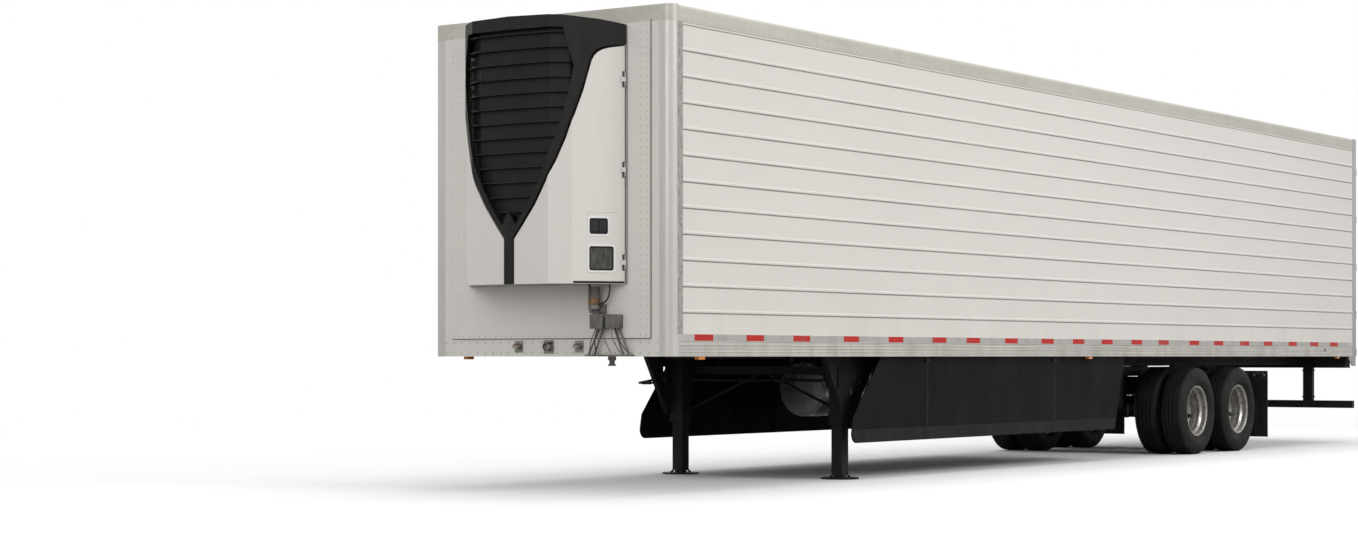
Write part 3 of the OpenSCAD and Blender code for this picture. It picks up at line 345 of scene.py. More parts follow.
FINISHES = {
    "white_panel": PAINT, "rail_aluminium": RAIL, "floor_aluminium": DECK, "galvanised": STEEL,
    "chassis_black": CHASSIS, "kingpin_steel": KINGPIN, "skirt_black": SKIRT, "black_rubber": RUBBER,
    "amber_lens": AMBER_LENS, "red_lens": RED_LENS, "white_plastic": LINER, "unit_white": PAINT,
    "unit_steel": UNIT_STEEL, "unit_black": UNIT_BLACK, "engine_iron": ENGINE, "fitting_grey": FITTING,
    "tank_aluminium": TANK, "tyre": TYRE,
}
BY_NODE = {
    "unit_frame": UNIT_FRAME, "top_rails": TOP_RAIL, "corner_posts": POST,
    "side_wall_left": SIDE_PAINT, "side_wall_right": SIDE_PAINT,
}

for row in frame["record"]["subparts"]:
    node, slot = row["node"], row["material_slot"]
    if slot == "wheel_steel":
        finish = WHEEL_PAINT["front" if "front" in node else "rear"]
    else:
        finish = BY_NODE.get(node, FINISHES[slot])
    NODES[node].data.materials.clear()
    NODES[node].data.materials.append(finish)

# ---- making pieces

BOX_FACES = [(0, 1, 3, 2), (4, 6, 7, 5), (0, 4, 5, 1), (2, 3, 7, 6), (0, 2, 6, 4), (1, 5, 7, 3)]


def add_piece(name, verts, faces, material, body, smooth=False):
    """A mesh, in the frame's metres, that rides on a body. Its faces are turned to agree."""
    mesh = bpy.data.meshes.new(name)
    mesh.from_pydata([tuple(v) for v in verts], [], [tuple(f) for f in faces])
    mesh.materials.append(material)
    mesh.validate()
    shell = bmesh.new()
    shell.from_mesh(mesh)
    bmesh.ops.recalc_face_normals(shell, faces=shell.faces)
    shell.to_mesh(mesh)
    shell.free()
    obj = bpy.data.objects.new(name, mesh)
    bpy.context.scene.collection.objects.link(obj)
    if smooth:
        mesh.shade_smooth()
    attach(obj, body)
    return obj


class Shape:
    """Collects simple solids into one mesh."""

    def __init__(self):
        self.verts, self.faces = [], []

    def add(self, verts, faces):
        first = len(self.verts)
        self.verts += [Vector(v) for v in verts]
        self.faces += [[first + i for i in f] for f in faces]
        return self

    def box(self, low, high):
        x, y, z = zip(low, high)
        corners = [(x[i], y[j], z[k]) for i in (0, 1) for j in (0, 1) for k in (0, 1)]
        return self.add(corners, BOX_FACES)

    def turned(self, centre, axis, profile, sides=24):
        """A solid of revolution; profile is (distance along the axis, radius) from one end to the other."""
        axis = Vector(axis).normalized()
        side = axis.orthogonal().normalized()
        other = axis.cross(side)
        verts, faces = [], []
        for along, radius in profile:
            for u, v in around(1.0, sides):
                verts.append(Vector(centre) + axis * along + (side * u + other * v) * radius)
        for ring in range(len(profile) - 1):
            for k in range(sides):
                a, b = ring * sides + k, ring * sides + (k + 1) % sides
                faces.append((a, b, b + sides, a + sides))
        faces.append(tuple(reversed(range(sides))))
        faces.append(tuple(range((len(profile) - 1) * sides, len(profile) * sides)))
        return self.add(verts, faces)

    def rod(self, start, end, radius, sides=12):
        start, end = Vector(start), Vector(end)
        return self.turned(start, end - start, [(0, radius), ((end - start).length, radius)], sides)

    def piece(self, name, material, body="trailer", bevel=0.0):
        obj = add_piece(name, self.verts, self.faces, material, body)
        if bevel:
            soften = obj.modifiers.new("bevel", "BEVEL")
            soften.width = bevel
            soften.segments = 2
            soften.limit_method = "ANGLE"
            soften.angle_limit = math.radians(35)
        return obj


def dome(radius, height, sides=8):
    """Verts and faces of a rivet head about +Z."""
    verts, faces = [], []
    for along, r in ((0, 1.0), (0.6, 0.78), (1.0, 0.35)):
        verts += [(x, y, height * along) for x, y in around(radius * r, sides)]
    for ring in (0, 1):
        for k in range(sides):
            a, b = ring * sides + k, ring * sides + (k + 1) % sides
            faces.append((a, b, b + sides, a + sides))
    faces.append(tuple(range(2 * sides, 3 * sides)))
    return verts, faces


def hexagon(radius, height, washer=0.0):
    """Verts and faces of a bolt head about +Z, on a thin round washer where its radius is given."""
    shape = Shape()
    if washer:
        shape.turned((0, 0, 0), (0, 0, 1), [(0, washer), (height * 0.2, washer)], 16)
    shape.turned((0, 0, 0), (0, 0, 1), [(0, radius), (height * 0.85, radius), (height, radius * 0.82)], 6)
    return shape.verts, shape.faces


def stamp(name, base, places, normal, material, body="trailer", smooth=False):
    """Copies of a small base shape, standing on a face with that outward normal, joined as one mesh."""
    verts, faces = base
    turn = Vector((0, 0, 1)).rotation_difference(Vector(normal)).to_matrix()
    local = np.array([tuple(turn @ Vector(v)) for v in verts])
    all_verts = np.concatenate([local + np.array(p) for p in places])
    count = len(verts)
    all_faces = [[i * count + k for k in f] for i in range(len(places)) for f in faces]
    return add_piece(name, all_verts, all_faces, material, body, smooth)


def spaced(start, end, pitch):
    count = max(2, round(abs(end - start) / pitch) + 1)
    return [start + (end - start) * i / (count - 1) for i in range(count)]


def hose(name, points, radius, material, body="trailer"):
    """A fixed pipe, hose or wire along a smooth curve."""
    curve = bpy.data.curves.new(name, "CURVE")
    curve.dimensions = "3D"
    curve.bevel_depth = radius
    curve.bevel_resolution = 3
    curve.resolution_u = 8
    spline = curve.splines.new("BEZIER")
    spline.bezier_points.add(len(points) - 1)
    for point, place in zip(spline.bezier_points, points):
        point.co = place
        point.handle_left_type = point.handle_right_type = "AUTO"
    curve.materials.append(material)
    obj = bpy.data.objects.new(name, curve)
    bpy.context.scene.collection.objects.link(obj)
    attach(obj, body)
    return obj


# ---- tyres

TYRE_HALF_W = 0.141
BEAD_X, BEAD_R = 0.103, 0.2865
SIDEWALL_STEPS = 13
GROOVE_DEPTH = 0.015
TREAD_STEPS = 208
NOTCH_EVERY, NOTCH_DEPTH = 4, 0.007


def bezier(t, a, b, c, d):
    u = 1 - t
    return u ** 3 * a + 3 * u * u * t * b + 3 * u * t * t * c + t ** 3 * d


def tyre_profile():
    """Distance across and radius, from one bead over the tread to the other, and which points are notched."""
    half = [(BEAD_X, BEAD_R)]
    for i in range(SIDEWALL_STEPS + 1):
        t = i / SIDEWALL_STEPS
        half.append((bezier(t, BEAD_X, TYRE_HALF_W * 1.1616, TYRE_HALF_W * 1.14, 0.119),
                     bezier(t, 0.301, 0.335, TYRE_R - 0.07, TYRE_R - 0.016)))
    ridge = (half[2][0] + 0.0035, half[2][1] + 0.004)
    half.insert(3, ridge)
    half += [(0.1165, TYRE_R - 0.008), (0.108, TYRE_R - 0.0035)]
    for groove_x, crown in ((0.072, 0.002), (0.0245, 0.0005)):
        half += [(groove_x + 0.0065, TYRE_R - crown - 0.0006), (groove_x + 0.005, TYRE_R - GROOVE_DEPTH),
                 (groove_x - 0.005, TYRE_R - GROOVE_DEPTH), (groove_x - 0.0065, TYRE_R - crown)]
    points = half + [(-a, r) for a, r in reversed(half)]
    notched = {i for i, (a, r) in enumerate(points) if abs(a) > 0.100 and r > TYRE_R - 0.02}
    return points, notched


def make_tyres(end, side):
    """The two treaded tyres of a dual pair, in place of their plain CAD rings."""
    profile, notched = tyre_profile()
    n = len(profile)
    verts, faces = [], []
    low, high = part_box(f"tyres_{end}_{side}")
    apart = (high.x - low.x) - 2 * TYRE_HALF_W
    middle = (low.x + high.x) / 2
    for centre in (middle - apart / 2, middle + apart / 2):
        first = len(verts)
        for k in range(TREAD_STEPS):
            a = 2 * math.pi * k / TREAD_STEPS
            notch = 0.0 if k % NOTCH_EVERY else NOTCH_DEPTH
            for i, (across, radius) in enumerate(profile):
                r = radius - (notch if i in notched else 0.0)
                verts.append((centre + across, AXLES[end] + r * math.cos(a), TYRE_R + r * math.sin(a)))
        for k in range(TREAD_STEPS):
            here, there = first + k * n, first + ((k + 1) % TREAD_STEPS) * n
            faces += [(here + i, here + (i + 1) % n, there + (i + 1) % n, there + i) for i in range(n)]
    name = f"treaded_tyres_{end}_{side}"
    obj = add_piece(name, verts, faces, TYRE, f"dual_wheels_{end}_{side}", True)
    obj.data.set_sharp_from_angle(angle=math.radians(38))
    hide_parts(f"tyres_{end}_{side}")


for end in AXLES:
    for side in SIDES:
        make_tyres(end, side)

# ---- wheels: nuts, hub caps, valves

DISC_OUT, HUB_OUT = 0.012, 0.0945
STUD_R, STUD_L = 0.1429, 0.038
CAP_BOLT_R = 0.066
CAP_FLANGE = [(0, 0.079), (0.008, 0.079), (0.012, 0.074), (0.014, 0.055)]
CAP_CROWN = [(0, 0.046), (0.012, 0.044), (0.017, 0.036)]
VALVE_R = (0.232, 0.246)

for end, axle_y in AXLES.items():
    for side, sx in SIDES.items():
        body = f"dual_wheels_{end}_{side}"
        face_x = sx * (DUAL_X + DISC_OUT)
        ring = [(face_x, axle_y + y, TYRE_R + z) for y, z in around(STUD_R, 10, 0.5)]
        stamp(f"wheel_nuts_{end}_{side}", hexagon(0.0165, 0.024, 0.021), ring, (sx, 0, 0), NUT_STEEL, body)
        studs = Shape()
        for x, y, z in ring:
            studs.rod((x, y, z), (x + sx * STUD_L, y, z), 0.0105, 10)
        studs.piece(f"wheel_studs_{end}_{side}", NUT_STEEL, body)
        cap_x = sx * (DUAL_X + HUB_OUT)
        cap = Shape()
        cap.turned((cap_x, axle_y, TYRE_R), (sx, 0, 0), CAP_FLANGE, 40)
        cap.turned((cap_x + sx * 0.013, axle_y, TYRE_R), (sx, 0, 0), CAP_CROWN, 32)
        cap.piece(f"hub_cap_{end}_{side}", HUB_BLACK, body, bevel=0.0015)
        bolts = [(cap_x + sx * 0.010, axle_y + y, TYRE_R + z) for y, z in around(CAP_BOLT_R, 6)]
        stamp(f"hub_cap_bolts_{end}_{side}", hexagon(0.0065, 0.007), bolts, (sx, 0, 0), HUB_BLACK, body)
        valve = Shape()
        valve.rod((face_x + sx * 0.04, axle_y, TYRE_R + VALVE_R[0]),
                  (face_x + sx * 0.15, axle_y, TYRE_R + VALVE_R[1]), 0.0045, 8)
        valve.piece(f"valve_{end}_{side}", NUT_STEEL, body)

# ---- conspicuity tape on the rails

TAPE_LOW, TAPE_HIGH = RAIL_HI.z - 0.056, RAIL_HI.z - 0.003
TAPE_T = 0.0012
TAPE_PITCH, TAPE_RED_L = 0.77, 0.28
TAPE_MARGIN, TAPE_GAP = 0.012, 0.004
for side, sx in SIDES.items():
    red, white = Shape(), Shape()
    x0, x1 = mirrored(sx, HALF_W - 0.0002, HALF_W + TAPE_T)
    y = behind(0.33)
    while y < WALLS_END_Y - 0.35:
        step = TAPE_PITCH * (0.86 + 0.28 * RANDOM.random())
        red.box((x0, y, TAPE_LOW), (x1, y + TAPE_RED_L, TAPE_HIGH))
        stop = min(y + step, WALLS_END_Y - 0.02)
        middle = y + TAPE_RED_L + (stop - y - TAPE_RED_L) * (0.4 + 0.2 * RANDOM.random())
        for a, b in ((y + TAPE_RED_L + TAPE_MARGIN, middle - TAPE_GAP),
                     (middle + TAPE_GAP, stop - TAPE_MARGIN)):
            white.box((x0, a, TAPE_LOW + 0.002), (x1, b, TAPE_HIGH - 0.002))
        y += step
    red.piece(f"rail_tape_red_{side}", TAPE_RED)
    white.piece(f"rail_tape_white_{side}", TAPE_WHITE)

# ---- rivets, strips and seams on the body

STRIP_S = (0.082, 0.160)
POST_RIVETS_S = (0.098, 0.122, 0.146)
PANEL_RIVETS_X = (1.055, 0.99)
for side, sx in SIDES.items():
    strip = Shape()
    x0, x1 = mirrored(sx, SIDE_HI.x - 0.012, HALF_W + 0.0015)
    strip.box((x0, behind(STRIP_S[0]), RAIL_HI.z), (x1, behind(STRIP_S[1]), TOP_LO.z))
    strip.piece(f"corner_strip_{side}", SEAL, bevel=0.0015)
    rivets = []
    for s in POST_RIVETS_S:
        rivets += [(sx * (HALF_W + 0.0014), behind(s), z)
                   for z in spaced(RAIL_HI.z + 0.03, TOP_LO.z - 0.03, 0.05)]
    for z in (TOP_LO.z + 0.025, TOP_LO.z + 0.085):
        rivets += [(sx * (HALF_W - 0.003), y, z) for y in spaced(behind(0.2), WALLS_END_Y - 0.05, 0.1)]
    rivets += [(sx * (HALF_W - 0.001), y, RAIL_Z + 0.008)
               for y in spaced(behind(0.2), WALLS_END_Y - 0.05, 0.15)]
    stamp(f"body_rivets_{side}", dome(0.0065, 0.0032), rivets, (sx, 0, 0), RIVET, smooth=True)

front_rivets = []
for x in PANEL_RIVETS_X:
    front_rivets += [(sx * x, PANEL_Y, z) for sx in (1, -1)
                     for z in spaced(RAIL_Z + 0.19, TOP_LO.z - 0.03, 0.06)]
front_rivets += [(x, PANEL_Y, RAIL_Z + 0.175) for x in spaced(-1.05, 1.05, 0.06)]

stamp("front_panel_rivets", dome(0.006, 0.003), front_rivets, (0, -1, 0), RIVET, smooth=True)
stamp("bolster_rivets", dome(0.008, 0.004),
      [(x, NOSE_Y, z) for x in spaced(-1.15, 1.15, 0.09) for z in (RAIL_Z + 0.03, RAIL_Z + 0.12)],
      (0, -1, 0), RIVET, smooth=True)
stamp("front_rail_rivets", dome(0.0065, 0.0032),
      [(x, NOSE_Y, z) for x in spaced(-1.15, 1.15, 0.08) for z in (TOP_LO.z + 0.03, TOP_LO.z + 0.11)],
      (0, -1, 0), RIVET, smooth=True)

# ---- faces to build on


class Face:
    """A flat place on the object: across and up it, and out of it."""

    def __init__(self, origin, across, up, out):
        self.origin, self.across, self.up, self.out = (Vector(v) for v in (origin, across, up, out))

    def at(self, u, v, d=0.0):
        return self.origin + self.across * u + self.up * v + self.out * d

    def slab(self, shape, loop, low, high):
        """A flat plate with the given outline, from low to high above the face."""
        n = len(loop)
        verts = [self.at(u, v, d) for d in (low, high) for u, v in loop]
        sides = [(k, (k + 1) % n, n + (k + 1) % n, n + k) for k in range(n)]
        return shape.add(verts, [tuple(reversed(range(n))), tuple(range(n, 2 * n))] + sides)

    def rim(self, shape, outer, inner, low, high):
        """A ring between two outlines with equal counts."""
        n = len(outer)
        verts = [self.at(u, v, d) for loop in (outer, inner) for d in (low, high) for u, v in loop]
        faces = []
        for k in range(n):
            j = (k + 1) % n
            faces += [(k, j, n + j, n + k), (2 * n + j, 2 * n + k, 3 * n + k, 3 * n + j),
                      (n + k, n + j, 3 * n + j, 3 * n + k), (j, k, 2 * n + k, 2 * n + j)]
        return shape.add(verts, faces)


def rounded(u0, v0, u1, v1, r, n=5):
    """Outline of a rectangle with round corners."""
    loop = []
    corners = ((u1 - r, v1 - r, 0), (u0 + r, v1 - r, 90), (u0 + r, v0 + r, 180), (u1 - r, v0 + r, 270))
    for cu, cv, start in corners:
        for i in range(n + 1):
            a = math.radians(start + 90 * i / n)
            loop.append((cu + r * math.cos(a), cv + r * math.sin(a)))
    return loop


def inset(rect, by, r, n=5):
    """Outline of a rectangle (u0, v0, u1, v1) made smaller by the same width all round."""
    u0, v0, u1, v1 = rect
    return rounded(u0 + by, v0 + by, u1 - by, v1 - by, r, n)


TAPE_SKIN = (-0.0005, 0.0013)


def tape_row(face, u0, u1, v0, v1, count, red_name, white_name, body="trailer"):
    """White and red patches of tape by turns, side by side on a face."""
    red, white = Shape(), Shape()
    step = (u1 - u0) / count
    for k in range(count):
        patch = rounded(u0 + k * step + TAPE_GAP, v0, u0 + (k + 1) * step - TAPE_GAP, v1, 0.002, 2)
        face.slab(red if k % 2 else white, patch, *TAPE_SKIN)
    red.piece(red_name, TAPE_RED, body)
    white.piece(white_name, TAPE_WHITE, body)


REAR = Face((0, REAR_Y, 0), (1, 0, 0), (0, 0, 1), (0, 1, 0))

# ---- rear doors

DOOR_X = (0.006, HALF_W - 0.108)
DOOR_Z = (DOOR_LO.z, DOOR_HI.z)
HINGE_Z = [DOOR_Z[0] + (DOOR_Z[1] - DOOR_Z[0]) * (i + 0.5) / 4 for i in range(4)]
RIVET_IN, RIVET_PITCH = 0.036, 0.075
SCUFF_IN = 0.075
CORNER_TAPE_TOP = 4.052
CORNER_TAPE = ((0.96, 1.19, 4.012), (1.205, 1.245, 3.76))
for side, sx in SIDES.items():
    body = f"rear_door_{side}"
    x0, x1 = mirrored(sx, *DOOR_X)
    door = (x0, DOOR_Z[0], x1, DOOR_Z[1])
    seal, trim = Shape(), Shape()
    REAR.rim(seal, inset(door, 0.001, 0.012, 4), inset(door, 0.017, 0.006, 4), -0.001, 0.004)
    REAR.rim(trim, inset(door, 0.0185, 0.006, 4), inset(door, 0.054, 0.004, 4), -0.001, 0.0016)
    seal.piece(f"door_seal_{side}", RUBBER, body, bevel=0.001)
    trim.piece(f"door_trim_{side}", RAIL, body)
    rivets = [(sx * x, REAR_Y + 0.0015, z) for x in (DOOR_X[0] + RIVET_IN, DOOR_X[1] - RIVET_IN)
              for z in spaced(DOOR_Z[0] + 0.06, DOOR_Z[1] - 0.06, RIVET_PITCH)]
    rivets += [(sx * x, REAR_Y + 0.0015, z) for z in (DOOR_Z[0] + RIVET_IN, DOOR_Z[1] - RIVET_IN)
               for x in spaced(DOOR_X[0] + 0.08, DOOR_X[1] - 0.08, RIVET_PITCH)]
    stamp(f"door_rivets_{side}", dome(0.005, 0.0025), rivets, (0, 1, 0), RIVET, body, True)
    bolts = [(sx * (DOOR_X[1] - off), REAR_Y + 0.0133, z + dz) for z in HINGE_Z
             for off in (0.035, 0.12, 0.205) for dz in (-0.016, 0.016)]
    stamp(f"hinge_bolts_{side}", hexagon(0.0085, 0.006, 0.011), bolts, (0, 1, 0), NUT_STEEL, body)
    kick = Shape()
    x0, x1 = mirrored(sx, DOOR_X[0] + SCUFF_IN, DOOR_X[1] - SCUFF_IN)
    REAR.slab(kick, rounded(x0, DOOR_Z[0] + 0.125, x1, DOOR_Z[0] + 0.33, 0.006, 3), -0.001, 0.0014)
    kick.piece(f"door_scuff_plate_{side}", STEEL, body)
    tape_row(REAR, x0, x1, DOOR_Z[0] + 0.066, DOOR_Z[0] + 0.116, 6,
             f"door_tape_red_{side}", f"door_tape_white_{side}", body)
    corner = Shape()
    for a, b, low_z in CORNER_TAPE:
        u0, u1 = mirrored(sx, a, b)
        REAR.slab(corner, rounded(u0, low_z, u1, CORNER_TAPE_TOP, 0.002, 2), *TAPE_SKIN)
    corner.piece(f"corner_tape_{side}", TAPE_WHITE)

PLACARD = (-0.70, 2.50, -0.41, 2.79)
placard, blank = Shape(), Shape()
REAR.rim(placard, inset(PLACARD, 0, 0.01), inset(PLACARD, 0.025, 0.008), -0.001, 0.006)
placard.piece("blank_placard_holder", RAIL, "rear_door_right", bevel=0.001)
REAR.slab(blank, inset(PLACARD, 0.01, 0.008), -0.001, 0.0025)
blank.piece("blank_placard", LINER, "rear_door_right")

# ---- rear frame, lamps and guard

LICENCE_PLATE = (-0.152, 1.172, 0.152, 1.322)
LAMPS_X, LAMP_Z, LAMP_BEADS_R = (0.62, 0.745, 0.87), 1.24, 0.027
GROMMET = [(0, 0.060), (0.006, 0.060), (0.009, 0.056), (0.009, 0.0505)]
BUMPER_BOLTS_X, BUMPER_BOLTS_Z = (1.06, 1.15, 1.24), 1.214

plate, plate_edge = Shape(), Shape()
REAR.slab(plate, inset(LICENCE_PLATE, 0, 0.01), -0.001, 0.004)
REAR.rim(plate_edge, rounded(-0.162, 1.163, 0.162, 1.331, 0.012), inset(LICENCE_PLATE, 0.005, 0.008),
         -0.001, 0.0075)
plate.piece("blank_licence_plate", LINER)
plate_edge.piece("licence_plate_frame", GLOSS_BLACK, bevel=0.001)
grommets, beads = Shape(), []
for x in LAMPS_X:
    for sx in (1, -1):
        grommets.turned((sx * x, REAR_Y - 0.001, LAMP_Z), (0, 1, 0), GROMMET, 40)
        beads += [(sx * x + u, REAR_Y + 0.0138, LAMP_Z + v) for u, v in [(0, 0)] + around(LAMP_BEADS_R, 6)]
grommets.piece("rear_lamp_grommets", RUBBER)
stamp("rear_lamp_lenses", dome(0.009, 0.003, 12), beads, (0, 1, 0), RED_LENS, smooth=True)
stamp("rear_frame_rivets", dome(0.006, 0.003),
      [(sx * 1.27, REAR_Y, z) for sx in (1, -1) for z in spaced(1.42, 3.9, 0.11)
       if min(abs(z - h) for h in HINGE_Z) > 0.09], (0, 1, 0), RIVET, smooth=True)
stamp("bumper_bolts", hexagon(0.012, 0.008, 0.016),
      [(sx * x, REAR_Y + 0.0595, BUMPER_BOLTS_Z) for sx in (1, -1) for x in BUMPER_BOLTS_X],
      (0, 1, 0), NUT_STEEL)

GUARD_LO, GUARD_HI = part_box("rear_guard")
GUARD_POST_X = 0.66
guard = Face((0, GUARD_HI.y, GUARD_LO.z), (1, 0, 0), (0, 0, 1), (0, 1, 0))
tape_row(guard, 0.04 - GUARD_HI.x, GUARD_HI.x - 0.04, 0.025, 0.075, 12,
         "guard_tape_red", "guard_tape_white")
caps = Shape()
for sx in (1, -1):
    x0, x1 = mirrored(sx, GUARD_HI.x - 0.001, GUARD_HI.x + 0.004)
    caps.box((x0, GUARD_HI.y - 0.086, GUARD_LO.z + 0.004), (x1, GUARD_HI.y - 0.004, GUARD_LO.z + 0.096))
    for z in (0.60, 0.96):
        caps.box((sx * GUARD_POST_X - 0.075, GUARD_HI.y - 0.095, z),
                 (sx * GUARD_POST_X + 0.075, GUARD_HI.y - 0.006, z + 0.02))
caps.piece("guard_caps_and_bands", CHASSIS, bevel=0.003)

HOLDBACK_S, HOLDBACK_Z = 15.0, 1.245
HOLDBACK = [(0, 0.020), (0.004, 0.020), (0.005, 0.008), (0.016, 0.007)]
hooks = Shape()
for sx in (1, -1):
    hooks.turned((sx * (HALF_W - 0.001), behind(HOLDBACK_S), HOLDBACK_Z), (sx, 0, 0), HOLDBACK, 16)
hooks.piece("door_holdback_studs", NUT_STEEL)

# ---- refrigeration unit

UNIT_EDGE, UNIT_NOSE = Vector((0.843, NOSE_Y - 0.047, 0)), Vector((0.571, NOSE_Y - 0.420, 0))
KEYS_V = (UNIT_Z + 0.435, UNIT_Z + 0.53)
WINDOWS = ((0.142, UNIT_Z + 0.41, 0.316, UNIT_Z + 0.555), (0.092, UNIT_Z + 0.105, 0.318, UNIT_Z + 0.32))
CREASE = ((0.228, 3.00), (0.226, 3.16), (0.216, 3.27), (0.185, 3.35), (0.135, 3.40), (0.065, 3.435))


def unit_side(sx):
    """The slanting side face of the unit, measured from the wall forwards."""
    along = (UNIT_NOSE - UNIT_EDGE).normalized()
    mirror = Vector((sx, 1, 1))
    return Face(UNIT_EDGE * mirror, along * mirror, (0, 0, 1), Vector((-along.y, along.x, 0)) * mirror)


unit = unit_side(1)
rims, panels, glass, buttons = Shape(), Shape(), Shape(), Shape()
for window in WINDOWS:
    unit.rim(rims, inset(window, -0.010, 0.026), inset(window, 0.006, 0.018), -0.002, 0.0045)
    unit.slab(panels, inset(window, 0.002, 0.02), -0.0089, -0.006)
for u0, u1 in ((0.160, 0.222), (0.234, 0.300)):
    unit.slab(buttons, rounded(u0, KEYS_V[0], u1, KEYS_V[1], 0.006), -0.0065, -0.001)
unit.slab(glass, rounded(0.110, UNIT_Z + 0.125, 0.300, UNIT_Z + 0.30, 0.012), -0.0065, -0.003)
rims.piece("unit_window_rims", RIM_WHITE, "unit_service_door_left", bevel=0.0015)
panels.piece("unit_window_panels", UNIT_BLACK, "unit_service_door_left")
buttons.piece("unit_control_keys", GLOSS_BLACK, "unit_service_door_left", bevel=0.002)
glass.piece("unit_display", DISPLAY_WITH_PAINTED_REFLECTIONS, "unit_service_door_left", bevel=0.001)

for side, sx in SIDES.items():
    face = unit_side(sx)
    body = f"unit_service_door_{side}"
    lip = Shape()
    face.slab(lip, rounded(0.075, UNIT_Z + 0.600, 0.325, UNIT_Z + 0.606, 0.002, 2), -0.001, 0.0035)
    face.slab(lip, rounded(0.319, UNIT_Z + 0.575, 0.325, UNIT_Z + 0.604, 0.002, 2), -0.001, 0.0035)
    lip.piece(f"unit_lip_{side}", PAINT, body, bevel=0.001)
    hose(f"unit_crease_{side}", [face.at(u, v, -0.0012) for u, v in CREASE], 0.003, PAINT, body)
    foot = Shape()
    face.slab(foot, rounded(0.004, UNIT_Z + 0.004, 0.452, UNIT_Z + 0.022, 0.004), -0.001, 0.0025)
    foot.piece(f"unit_door_hem_{side}", UNIT_BLACK, body, bevel=0.001)

# ---- nose: painted shadow line at the panel edges, couplings, filter, cables

PANEL_X, PANEL_Z, PANEL_TOP = 1.081, RAIL_Z + 0.156, 3.985
SHADOW_LINE_W, SHADOW_LINE_SKIN = 0.006, (-0.001, 0.002)
nose_face = Face((0, NOSE_Y, 0), (1, 0, 0), (0, 0, 1), (0, -1, 0))
# dark strips painted as the shadow line along the raised panel's sides and lower edge
edge_shadow = Shape()
for sx in (1, -1):
    u0, u1 = mirrored(sx, PANEL_X, PANEL_X + SHADOW_LINE_W)
    nose_face.slab(edge_shadow, [(u0, PANEL_Z), (u1, PANEL_Z), (u1, PANEL_TOP), (u0, PANEL_TOP)], *SHADOW_LINE_SKIN)
nose_face.slab(edge_shadow, [(-PANEL_X, PANEL_Z - SHADOW_LINE_W), (PANEL_X, PANEL_Z - SHADOW_LINE_W), (PANEL_X, PANEL_Z),
                       (-PANEL_X, PANEL_Z)], *SHADOW_LINE_SKIN)
edge_shadow.piece("nose_panel_edge_shadow", PANEL_EDGE_SHADOW)

COUPLING_X, COUPLING_Y = 0.33, NOSE_Y - 0.045
COUPLING_NECK = [(0, 0.026), (0.022, 0.026), (0.026, 0.022)]
COUPLING_HEAD = [(0, 0.029), (0.026, 0.029), (0.030, 0.024)]
COUPLING_SEAL = [(0, 0.020), (0.005, 0.020), (0.007, 0.014)]
SOCKET = [(0, 0.038), (0.045, 0.036), (0.047, 0.031), (0.02, 0.030)]
for name, x, material in (("service", COUPLING_X, HOSE_BLUE), ("emergency", -COUPLING_X, HOSE_RED)):
    head = Shape()
    head.box((x - 0.045, NOSE_Y - 0.004, 1.195), (x + 0.045, NOSE_Y + 0.001, 1.295))
    head.turned((x, NOSE_Y - 0.004, 1.25), (0, -1, 0), COUPLING_NECK, 24)
    head.turned((x, COUPLING_Y, 1.232), (0, 0, 1), COUPLING_HEAD, 24)
    head.piece(f"{name}_coupling", NUT_STEEL, bevel=0.001)
    tag = Shape()
    tag.turned((x, COUPLING_Y, 1.262), (0, 0, 1), COUPLING_SEAL, 24)
    tag.piece(f"{name}_coupling_seal", material)
socket = Shape()
socket.box((-0.055, NOSE_Y - 0.004, 1.185), (0.055, NOSE_Y + 0.001, 1.30))
socket.turned((0, NOSE_Y - 0.003, 1.245), (0, -1, 0), SOCKET, 28)
socket.box((-0.04, NOSE_Y - 0.052, 1.282), (0.04, NOSE_Y - 0.004, 1.288))
socket.piece("electrical_socket", NUT_STEEL, bevel=0.001)

FIT_Y = NOSE_Y - 0.1
BOWL = [(0, 0.030), (0.006, 0.046), (0.06, 0.0495), (0.10, 0.0495), (0.105, 0.044)]
CABLE_TOP, CABLE_FOOT = 1.40, 1.185
CABLES = ((0.60, 0.47, 0.10), (0.62, 0.545, 0.115), (0.74, 0.80, 0.10), (0.76, 0.885, 0.085),
          (0.66, 0.70, 0.095))
bowl = Shape()
bowl.turned((0.56, FIT_Y, 1.555), (0, 0, 1), BOWL, 28)
bowl.piece("fuel_filter_bowl", BRONZE)
for k, (x0, x1, lift) in enumerate(CABLES):
    y = NOSE_Y - lift
    points = [(x0, y, CABLE_TOP + 0.03), (x0 * 0.6 + x1 * 0.4, y - 0.012, CABLE_TOP * 0.6 + CABLE_FOOT * 0.4),
              (x1, NOSE_Y - 0.05, CABLE_FOOT)]
    hose(f"nose_cable_{k}", points, 0.0042, HOSE_BLACK if k % 2 else FITTING)
hose("filter_pipe", [(0.53, FIT_Y - 0.01, 1.74), (0.50, FIT_Y, 1.80), (0.50, FIT_Y + 0.02, UNIT_Z + 0.02)],
     0.009, HOSE_BLACK)
hose("filter_return", [(0.60, FIT_Y, 1.60), (0.66, FIT_Y + 0.02, 1.62), (0.70, FIT_Y + 0.03, 1.70),
                       (0.70, FIT_Y + 0.03, UNIT_Z + 0.02)], 0.007, HOSE_BLACK)
screws = [(x, NOSE_Y - 0.135, z) for x in (0.552, 0.658) for z in (1.407, 1.508)]
stamp("box_screws", hexagon(0.006, 0.004), screws, (0, -1, 0), NUT_STEEL)

# ---- underbody

